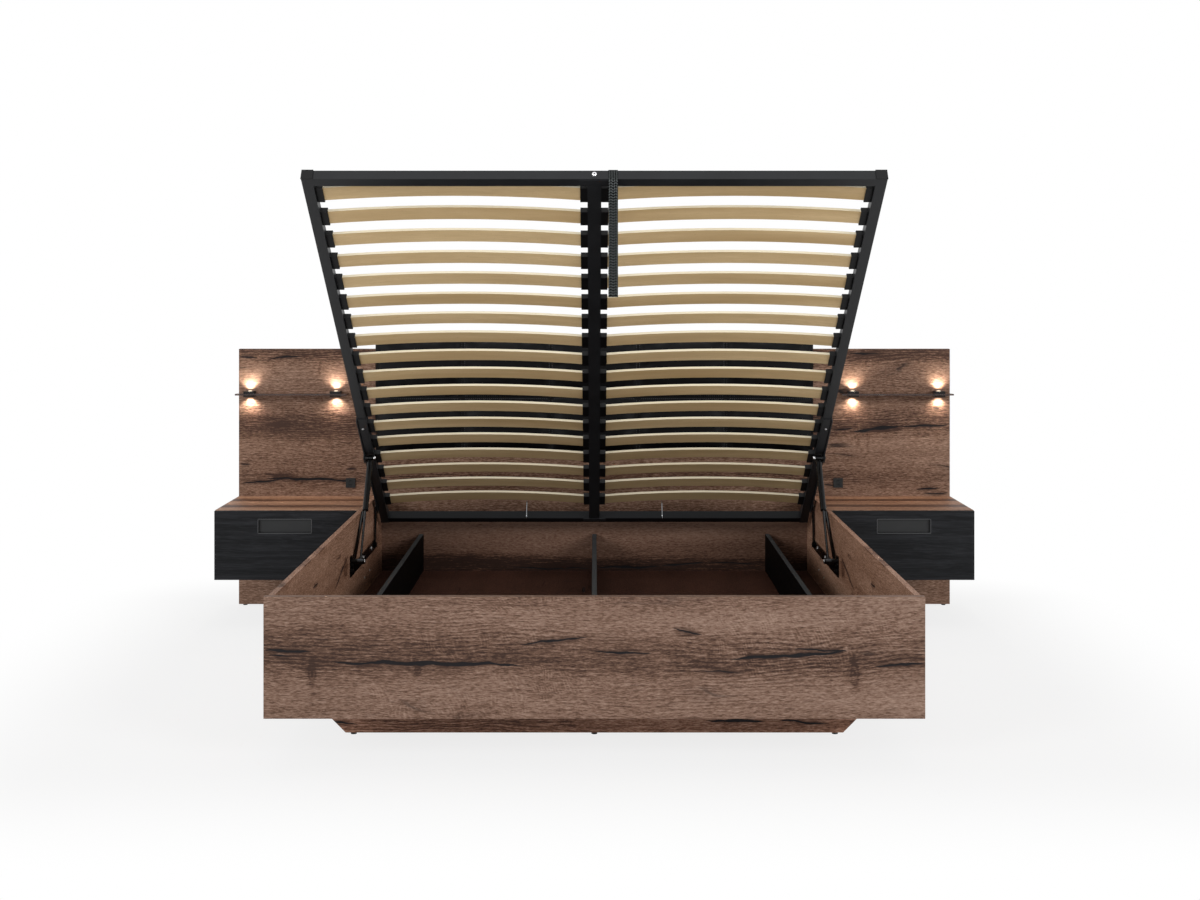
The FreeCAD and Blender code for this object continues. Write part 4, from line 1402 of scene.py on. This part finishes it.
@dataclass
class LiftFittings:
    """Bright pins, rivets and screws of the lift, and the small plates and stops of the slatted frame.

    Places are (Y, Z), and pins and heads are (radius, length). The stops' path is in millimetres, as the
    way back along the frame and the way out of it.
    """

    steel: bpy.types.Material
    bright: bpy.types.Material
    grey: bpy.types.Material
    spring_pin: Pair = (0.4594, 0.622)
    spring_foot: Pair = (0.2289, 0.304)
    pivots: tuple[Pair, ...] = ((0.2289, 0.270), (0.7763, 0.270))
    rail_screws: tuple[Pair, ...] = ((0.675, 0.195), (0.551, 0.190))
    pin_spans: tuple[Pair, ...] = ((0.7575, 0.7662), (0.7862, 0.7985))
    rivet_x: float = 782 * MM
    foot_x: float = 762.8 * MM
    pivot_x: float = 800.2 * MM
    rail_x: float = 809 * MM
    rivet_along: float = 677 * MM
    lip: float = 3 * MM
    spring_pin_radius: float = 5.5 * MM
    rivet: Pair = (4.5 * MM, 2 * MM)
    bar_screw: Pair = (7 * MM, 3.5 * MM)
    bar_screw_rise: float = 2 * MM
    recess: Pair = (2.4 * MM, 0.5 * MM)
    recess_rise: float = 3.2 * MM
    foot_pin: Pair = (7.5 * MM, 2.4 * MM)
    pivot_pin: Pair = (6.5 * MM, 2.6 * MM)
    rail_screw: Pair = (4.5 * MM, 2.2 * MM)
    stop_side: float = 252 * MM
    stop_along: float = 30 * MM
    stop_path: tuple[Pair, ...] = ((-2.2, -3), (-2.2, 20), (-2.2, 45), (-1, 62), (3, 72), (9, 76), (14, 74))
    wire: float = 1.8 * MM
    gusset: tuple[float, float, float] = (84 * MM, 18 * MM, 2.5 * MM)
    gusset_corner: float = 4 * MM
    gusset_gap: float = 0.1 * MM
    gusset_ends: Pair = (20 * MM, 40 * MM)

    def build(self) -> None:
        """Make the fittings of both sides."""
        plane = FramePlane.read()
        along, down = plane.way(1, 0), plane.way(0, -1)
        sides = np.array((-1, 1))
        moving = [aimed(pin(self.spring_pin_radius, last - first), (side * first, *self.spring_pin),
                        (side, 0, 0))
                  for side in sides for first, last in self.pin_spans]
        rivets = (plane.point(side * self.rivet_x, self.rivet_along, -self.lip) for side in sides)
        moving += [aimed(round_head(*self.rivet), place, down) for place in rivets]
        top = sum(corners("foot_bar_screw")) / 2 + along * self.bar_screw_rise
        moving.append(aimed(round_head(*self.bar_screw), top, along))
        recess = aimed(round_head(*self.recess), top + along * self.recess_rise, along)
        piece("screw_recess", [recess], self.steel, "lift_frame")
        piece("lift_pins", moving, self.bright, "lift_frame")
        still = [aimed(shape, (side * x, *place), (-side, 0, 0))
                 for shape, x, places in ((pin(*self.foot_pin), self.foot_x, (self.spring_foot,)),
                                          (pin(*self.pivot_pin), self.pivot_x, self.pivots),
                                          (round_head(*self.rail_screw), self.rail_x, self.rail_screws))
                 for side in sides for place in places]
        piece("base_pins", still, self.bright, "base")
        piece("frame_gussets", self._gussets(plane), self.steel, "lift_frame", smooth=False)
        piece("mattress_stops", self._stops(plane), self.grey, "lift_frame")

    def _gussets(self, plane: FramePlane) -> list[Patch]:
        """Small plates under the centre tube's ends, flat on the bars.

        Args:
            plane: the frame's plane.

        Returns:
            Their grids.
        """
        width, height, thick = self.gusset
        outline = rounded_outline(width, height, self.gusset_corner)
        length = float(np.linalg.norm(side_view("left_side_tube").ptp(axis=0)))
        levels = np.array((-self.gusset_gap, -thick))[:, None, None] * plane.way(0, 1)
        plates: list[Patch] = []
        for along in (self.gusset_ends[0], length - self.gusset_ends[1]):
            flat = (plane.point(0, along, 0) + outline[:, :1] * np.array((1.0, 0, 0))
                    + outline[:, 1:] * plane.way(1, 0))
            plates += capped(Patch(flat + levels, round_columns=True))
        return plates

    def _stops(self, plane: FramePlane) -> list[Patch]:
        """Thin wire stops on the head bar, each a round wire along a path that bends over at its top.

        Args:
            plane: the frame's plane.

        Returns:
            Their grids.
        """
        turn = np.linspace(0, FULL_TURN, 8, endpoint=False)
        wire = self.wire * np.stack((np.cos(turn), np.sin(turn)), axis=1)
        marks = np.array(self.stop_path) * MM
        wires: list[Patch] = []
        for side in (-1, 1):
            path = [plane.point(side * self.stop_side, self.stop_along - along, out) for along, out in marks]
            wires += capped(carried_patch(np.stack(path), wire, (1, 0, 0)))
        return wires


@dataclass
class PullRims:
    """Thin rims round the let-in drawer pulls."""

    metal: bpy.types.Material
    width: float = 1.8 * MM
    proud: float = 0.6 * MM
    corner: float = 3 * MM

    def build(self) -> None:
        """Make one rim for each drawer."""
        for side in SIDES:
            low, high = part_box(f"{side}_drawer_pull")
            middle = (low + high) / 2
            outline = rounded_outline(high.x - low.x, high.z - low.z, self.corner, 6)
            path = np.column_stack((middle.x + outline[:, 0], np.full(len(outline), low.y - self.proud / 2),
                                    middle.z + outline[:, 1]))
            profile = rounded_outline(self.proud * 2, self.width, self.proud * 0.4)
            rim = carried_patch(path, profile, (0, 1, 0), closed_path=True)
            piece(f"{side}_pull_rim", [rim], self.metal, f"{side}_drawer")


def cracks(*marks: tuple[float, float, float, float, float]) -> tuple[Crack, ...]:
    """Cracks from rows of millimetres: both ends along and across the grain, then half the width."""
    return tuple(Crack((a * MM, b * MM), (c * MM, d * MM), w * MM) for a, b, c, d, w in marks)


FRONT_CRACKS = cracks(
    (-662, 271, -172, 263, 4.5), (-833, 299, -710, 297, 3.0), (-820, 286, -760, 286, 1.5),
    (-187, 316, -14, 334, 2.5), (-6, 299, 147, 291, 2.5), (195, 354, 273, 341, 2.0),
    (338, 278, 638, 296, 4.0), (502, 306, 638, 296, 2.0), (703, 263, 831, 267, 3.0),
    (260, 251, 381, 243, 1.5))
HEADBOARD_CRACKS = cracks(
    (-1354, 949, -1284, 944, 3.0), (-1241, 942, -1122, 951, 3.0), (-1354, 465, -1180, 482, 3.0),
    (-1258, 486, -878, 475, 4.0), (-947, 522, -903, 522, 2.0), (-1354, 538, -1310, 538, 2.0),
    (971, 962, 1085, 958, 3.0), (909, 671, 988, 675, 3.0), (988, 662, 1163, 684, 6.0),
    (1163, 684, 1351, 688, 4.0), (1224, 441, 1320, 451, 3.0), (1250, 427, 1353, 430, 2.0),
    (874, 459, 914, 459, 2.0), (1290, 754, 1316, 754, 2.0))
PLINTH_CRACKS = cracks((300, 37, 465, 35, 3.5), (500, 38, 640, 30, 2.5), (-740, 36, -640, 28, 2.5))
RAIL_CRACKS = cracks((-100, 268, 190, 335, 2.5), (-470, 350, -380, 345, 2.0))
REAR_CRACKS = cracks((10, 147, 250, 152, 4.0), (250, 152, 420, 168, 3.0), (420, 168, 640, 160, 2.0),
                     (-310, 146, -10, 144, 2.5))

FRONT_HEARTS = (Heart(0.285, 0.06, 0.85), Heart(0.262, 0.02, 0.4))
HEADBOARD_HEARTS = (Heart(0.692, 0.05, 1.5), Heart(0.957, 0.03, 1.5), Heart(0.48, 0.03, 0.7))
# On the rear panel the strong dark band near the bottom is partly a heart and partly painted shade, and the
# pale band at the top, with a negative strength, is a painted highlight.
REAR_HEARTS_AND_PAINTED_LIGHT = (Heart(0.155, 0.035, 2.6), Heart(0.32, 0.07, -1.8))
TOP_HEARTS = (Heart(0.898, 0.028, 2.4), Heart(0.737, 0.03, 2.4))
FRONT_KNOTS = (Knot((-0.710, 0.241), (0.018, 0.055), 0.8), Knot((0.655, 0.241), (0.020, 0.055), 0.8),
               Knot((-0.444, 0.254), (0.014, 0.030), 0.8), Knot((0.234, 0.346), (0.055, 0.016), 0.7))
HEADBOARD_KNOTS = (Knot((-1.190, 0.492), (0.060, 0.022), 1.3), Knot((1.100, 0.676), (0.085, 0.024), 1.3),
                   Knot((1.030, 0.958), (0.070, 0.022)), Knot((-1.200, 0.690), (0.070, 0.024)),
                   Knot((-1.330, 0.130), (0.055, 0.040), 0.8))
RAIL_KNOTS = (Knot((0.0, 0.358), (0.05, 0.010)), Knot((-0.35, 0.437), (0.12, 0.010)),
              Knot((-0.55, 0.437), (0.10, 0.008)), Knot((0.13, 0.300), (0.06, 0.05), 0.9))

SOFT_BOARDS = ("front_panel", "headboard_panel", "centre_divider",
               *(f"{side}_{part}" for side in SIDES
                 for part in ("rail", "stand_top", "drawer_front", "divider")))


@dataclass
class Dressing:
    """Finishes of the CAD's own pieces."""

    steel: bpy.types.Material
    bright: bpy.types.Material
    plastic: bpy.types.Material
    edge_round: float = 0.9 * MM
    edge_angle: float = math.radians(40)
    weld_reach: float = 0.01 * MM
    slat_end: float = 0.3
    cut_edge: float = 0.75

    def apply(self) -> None:
        """Give each CAD piece its finish, and soften the boards' edges."""
        finishes = {**self._boards(), **self._fittings()}
        for name, material in finishes.items():
            node = bpy.data.objects[name]
            node.data.materials.clear()
            node.data.materials.append(material)
        for name in SOFT_BOARDS:
            self._soften(bpy.data.objects[name])
        # The cut edges' paler beech is partly the paler cut wood and partly a painted highlight of the light
        # from above.
        edge = BentBeech("beech_edge", linear(250, 240, 215), linear(236, 222, 190), linear(205, 182, 140))
        edge_and_highlight_finish = edge.build()
        for side in SIDES:
            self._pale_edges(bpy.data.objects[f"{side}_slats"].data, edge_and_highlight_finish)
        LOG.info("%d pieces dressed", len(finishes))

    def _soften(self, node: bpy.types.Object) -> None:
        """Round a board's edges a little with live modifiers.

        Args:
            node: the board's object.
        """
        weld = node.modifiers.new("weld", "WELD")
        weld.merge_threshold = self.weld_reach
        bevel = node.modifiers.new("soft_edges", "BEVEL")
        bevel.width = self.edge_round
        bevel.segments = 2
        bevel.limit_method = "ANGLE"
        bevel.angle_limit = self.edge_angle
        bevel.harden_normals = True

    def _pale_edges(self, mesh: bpy.types.Mesh, edge: bpy.types.Material) -> None:
        """Give the slats' long cut edges their own finish, which is paler partly as cut wood and partly as a
        painted highlight.

        A cut edge's faces look along the frame, square to the slat's own length and to the broad faces,
        which hold most of the area.

        Args:
            mesh: the slats' mesh.
            edge: finish of the cut edges.
        """
        count = len(mesh.polygons)
        normal, area = np.empty(3 * count), np.empty(count)
        mesh.polygons.foreach_get("normal", normal)
        mesh.polygons.foreach_get("area", area)
        normal = normal.reshape(-1, 3)
        long = np.abs(normal[:, 0]) < self.slat_end
        flat = normal[long]
        broad = np.linalg.eigh((flat * area[long, None]).T @ flat)[1][:, -1]
        along = np.cross(broad, (1.0, 0.0, 0.0))
        along /= np.linalg.norm(along)
        mesh.materials.append(edge)
        mesh.polygons.foreach_set("material_index", (np.abs(normal @ along) > self.cut_edge).astype(np.int32))

    @staticmethod
    def _boards() -> dict[str, bpy.types.Material]:
        """Make the finishes of the wood pieces.

        Returns:
            Each finish, by its piece's name.
        """
        front = RusticOak("front_oak", Grain.ACROSS, 0.0, FRONT_CRACKS, FRONT_HEARTS, FRONT_KNOTS,
                          figure=0.13)
        back = RusticOak("headboard_oak", Grain.ACROSS, 3.1, HEADBOARD_CRACKS, HEADBOARD_HEARTS,
                         HEADBOARD_KNOTS, contrast=0.7)
        plinth = RusticOak("front_plinth_oak", Grain.ACROSS, 43.0, PLINTH_CRACKS, (Heart(0.03, 0.03),))
        rail = RusticOak("left_rail_oak", Grain.LENGTHWISE, 17.0, RAIL_CRACKS, (), RAIL_KNOTS, contrast=1.4,
                         figure=0.12, figure_pitch=40 * MM)
        top = RusticOak("left_top_oak", Grain.ACROSS_FLAT, 53.0, (), TOP_HEARTS, contrast=1.8)
        rear = RusticOak("rear_oak", Grain.ACROSS, 31.0, REAR_CRACKS, REAR_HEARTS_AND_PAINTED_LIGHT)
        # Painted light and shade: each board's colours are scaled for the light it gets, darker for the rear
        # panel and the box floor inside the box, a little darker for the front panel and headboard, and
        # brighter for the rails, the front plinth and the stand tops.
        oak = {
            "front_panel": front.with_painted_light(0.74, 0.71, 0.68),
            "headboard_panel": back.with_painted_light(0.98, 0.92, 0.84),
            "left_rail": rail.with_painted_light(1.42, 1.27, 1.14),
            "right_rail": replace(rail, name="right_rail_oak", cut_at=25.0).with_painted_light(1.42, 1.27, 1.14),
            "rear_panel": rear.with_painted_light(0.54, 0.46, 0.41),
            "floor_panels": RusticOak("floor_oak", Grain.LENGTHWISE, 37.0).with_painted_light(0.2, 0.12, 0.1),
            "front_plinth_beam": plinth.with_painted_light(1.35, 1.17, 1.06),
            "rear_plinth_beam": RusticOak("rear_plinth_oak", Grain.ACROSS, 47.0),
            "left_stand_top": top.with_painted_light(1.2, 1.0, 0.8),
            "right_stand_top": replace(top, name="right_top_oak", cut_at=59.0).with_painted_light(1.2, 1.0, 0.8)}
        parts = (("stand_bottom", Grain.ACROSS), ("stand_inner_side", Grain.LENGTHWISE),
                 ("stand_outer_side", Grain.LENGTHWISE), ("drawer_front", Grain.ACROSS))
        black = {f"{side}_{part}": BlackOak(f"{side}_{part}_oak", grain, shift + 7.0 * number)
                 for side, shift in zip(SIDES, (0.0, 3.0)) for number, (part, grain) in enumerate(parts)}
        # Painted shade: the dividers stand in the shade inside the box, and their black is taken down to near
        # black for it.
        for name, shift in (("left_divider", 71.0), ("centre_divider", 74.0), ("right_divider", 77.0)):
            black[name] = BlackOak(f"{name}_oak", Grain.LENGTHWISE, shift, linear(1, 1, 1), linear(5, 5, 6),
                                   specular=0.04, edge_level=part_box(name)[1].z)
        return {name: finish.build() for name, finish in {**oak, **black}.items()}

    def _fittings(self) -> dict[str, bpy.types.Material]:
        """Make the finishes of the metal, plastic, glass and slat pieces.

        Returns:
            Each finish, by its piece's name.
        """
        pull = Coated("pull_grey", linear(28, 29, 30), 0.45, specular=0.25).build()
        board = Coated("drawer_lining", linear(60, 60, 62), 0.6, peel_scale=400.0).build()
        beech = BentBeech("beech").build()
        glass = SmokedGlass("smoked_glass").build()
        module = Coated("module_grey", linear(26, 28, 28), 0.5, peel_scale=500.0, specular=0.25).build()
        rod = TurnedSteel("blackened_rod", (0.05, 0.052, 0.055)).build()
        gloss = Coated("gloss_black", linear(4, 4, 5), 0.11, specular=0.2).build()
        # Painted shade: the head bar gets a darker copy of the black powder coat, for the shade under the
        # slats.
        deep = Coated("deep_powder_coat", linear(13, 14, 16), 0.42, specular=0.15).build()
        pairs = {
            "rear_link": gloss, "front_link": gloss, "lift_base": gloss, "spring_cylinder": gloss,
            "spring_rod": rod, "side_tube": self.steel, "frame_hanger": self.steel, "slats": beech,
            "glass_shelf": glass, "drawer_pull": pull, "drawer_sides": board, "drawer_back": board,
            "drawer_bottom": board}
        single = {
            "head_bar": deep, "foot_bar": self.steel, "centre_tube": self.steel,
            "foot_bar_screw": self.bright, "lift_base_bolts": self.bright, "tube_end_caps": self.plastic,
            "side_slat_holders": self.plastic, "centre_slat_holders": self.plastic,
            "floor_glides": self.plastic, "shelf_lamps": self.plastic, "usb_modules": module}
        return single | {f"{side}_{part}": finish for side in SIDES for part, finish in pairs.items()}


@dataclass(frozen=True)
class SoftBox:
    """Large soft light: its name, place, width and height, and power in watts."""

    name: str
    place: tuple[float, float, float]
    size: Pair
    watts: float

    def build(self, aim: Sequence[float]) -> None:
        """Hang the light, facing a point.

        Args:
            aim: the point.
        """
        data = bpy.data.lights.new(self.name, "AREA")
        data.shape = "RECTANGLE"
        data.size, data.size_y = self.size
        data.energy = self.watts
        turn = (Vector(aim) - Vector(self.place)).to_track_quat("-Z", "Y").to_euler()
        put(self.name, data, self.place, turn)


@dataclass
class Studio:
    """White room, floor, soft lights and the photograph's camera."""

    reach: float = 40.0
    ambient: float = 0.3
    floor_tone: Colour = (0.9, 0.9, 0.9)
    floor_keep: float = 0.2
    shadow_half: Pair = (1.3, 1.0)
    shadow_fade: float = 0.75
    lights: tuple[SoftBox, ...] = (
        SoftBox("left_light", (-9.0, -9.5, 5.0), (5.0, 4.0), 720.0),
        SoftBox("right_light", (9.0, -9.5, 5.0), (5.0, 4.0), 720.0),
        SoftBox("low_light", (0.0, -13.0, 0.8), (9.0, 1.4), 220.0),
        SoftBox("top_light", (0.0, 0.8, 6.0), (5.0, 3.0), 30.0))
    aim: tuple[float, float, float] = (0.0, 0.0, 0.5)
    eye: tuple[float, float, float] = (0.0, -5.010, 1.214)
    lens: float = 47.37
    sensor: float = 36.0
    shift: Pair = (0.0047, -0.1358)

    def build(self) -> None:
        """Set the stage."""
        self._world()
        self._floor()
        for light in self.lights:
            light.build(self.aim)
        self._camera()
        bpy.context.scene.view_settings.view_transform = "Standard"

    def _world(self) -> None:
        """White for the rays that show it, and a softer white that lights the object."""
        world = bpy.data.worlds.new("room")
        bpy.context.scene.world = world
        tree = Tree("room", world)
        lit, shown = (tree.node("ShaderNodeBackground", inputs={"Color": WHITE, "Strength": strength})
                      for strength in (self.ambient, 1.0))
        tree.close(tree.node("ShaderNodeMixShader", inputs={0: tree.seen(), 1: lit, 2: shown}), "World")

    def _floor(self) -> None:
        """Pale floor that turns plain white away from the object, and keeps its shadow near it."""
        tree = Tree("floor")
        out_x, out_y = ((abs(way) - half).most(0.0) for way, half in zip(tree.place(), self.shadow_half))
        away = ((out_x * out_x + out_y * out_y) ** 0.5).rise(0.0, self.shadow_fade)
        matt = tree.node("ShaderNodeBsdfDiffuse", inputs={"Color": opaque(self.floor_tone)})
        white = tree.node("ShaderNodeEmission", inputs={"Color": WHITE, "Strength": 1.0})
        share = tree.seen() * (1.0 - (1.0 - away) * self.floor_keep)
        tree.close(tree.node("ShaderNodeMixShader", inputs={0: share, 1: matt, 2: white}))
        side = np.linspace(-self.reach, self.reach, 2)
        grid_x, grid_y = np.meshgrid(side, side)
        points = np.stack((grid_x, grid_y, np.zeros_like(grid_x)), axis=2)
        mesh = bpy.data.meshes.new("floor")
        mesh.from_pydata(points.reshape(-1, 3).tolist(), [], Patch(points).faces().tolist())
        mesh.materials.append(tree.owner)
        put("floor", mesh)

    def _camera(self) -> None:
        """Level camera of the photograph, with its shifted picture."""
        data = bpy.data.cameras.new("camera")
        data.lens = self.lens
        data.sensor_width = self.sensor
        data.shift_x, data.shift_y = self.shift
        bpy.context.scene.camera = put("camera", data, self.eye, (math.pi / 2, 0.0, 0.0))


class StorageBed:
    """The whole bed's looks."""

    def build(self) -> None:
        """Dress the CAD pieces, then add soft goods, lamps and the studio."""
        steel = Coated("black_powder_coat", linear(28, 29, 31), 0.42, specular=0.3).build()
        plastic = Coated("black_plastic", linear(11, 11, 12), 0.5, peel_scale=500.0, specular=0.25).build()
        bright = TurnedSteel("bright_steel").build()
        Dressing(steel, bright, plastic).apply()
        thread = Coated("grey_thread", linear(88, 90, 94), 0.8, peel_scale=2500.0).build()
        BackCushion(Upholstery("black_upholstery").build(), thread).build()
        PullStrap(Webbing("webbing").build(), thread).build()
        ShelfLamps(LampLens("lamp_lens").build()).build()
        LiftFittings(steel, bright, TurnedSteel("stop_wire", (0.3, 0.31, 0.32)).build()).build()
        PullRims(Coated("pull_rim", linear(62, 63, 65), 0.4, specular=0.4).build()).build()
        Studio().build()


def main() -> None:
    """Build the looks."""
    logging.basicConfig(level=logging.INFO, format="%(name)s: %(message)s")
    StorageBed().build()


if __name__ == "__main__":
    main()
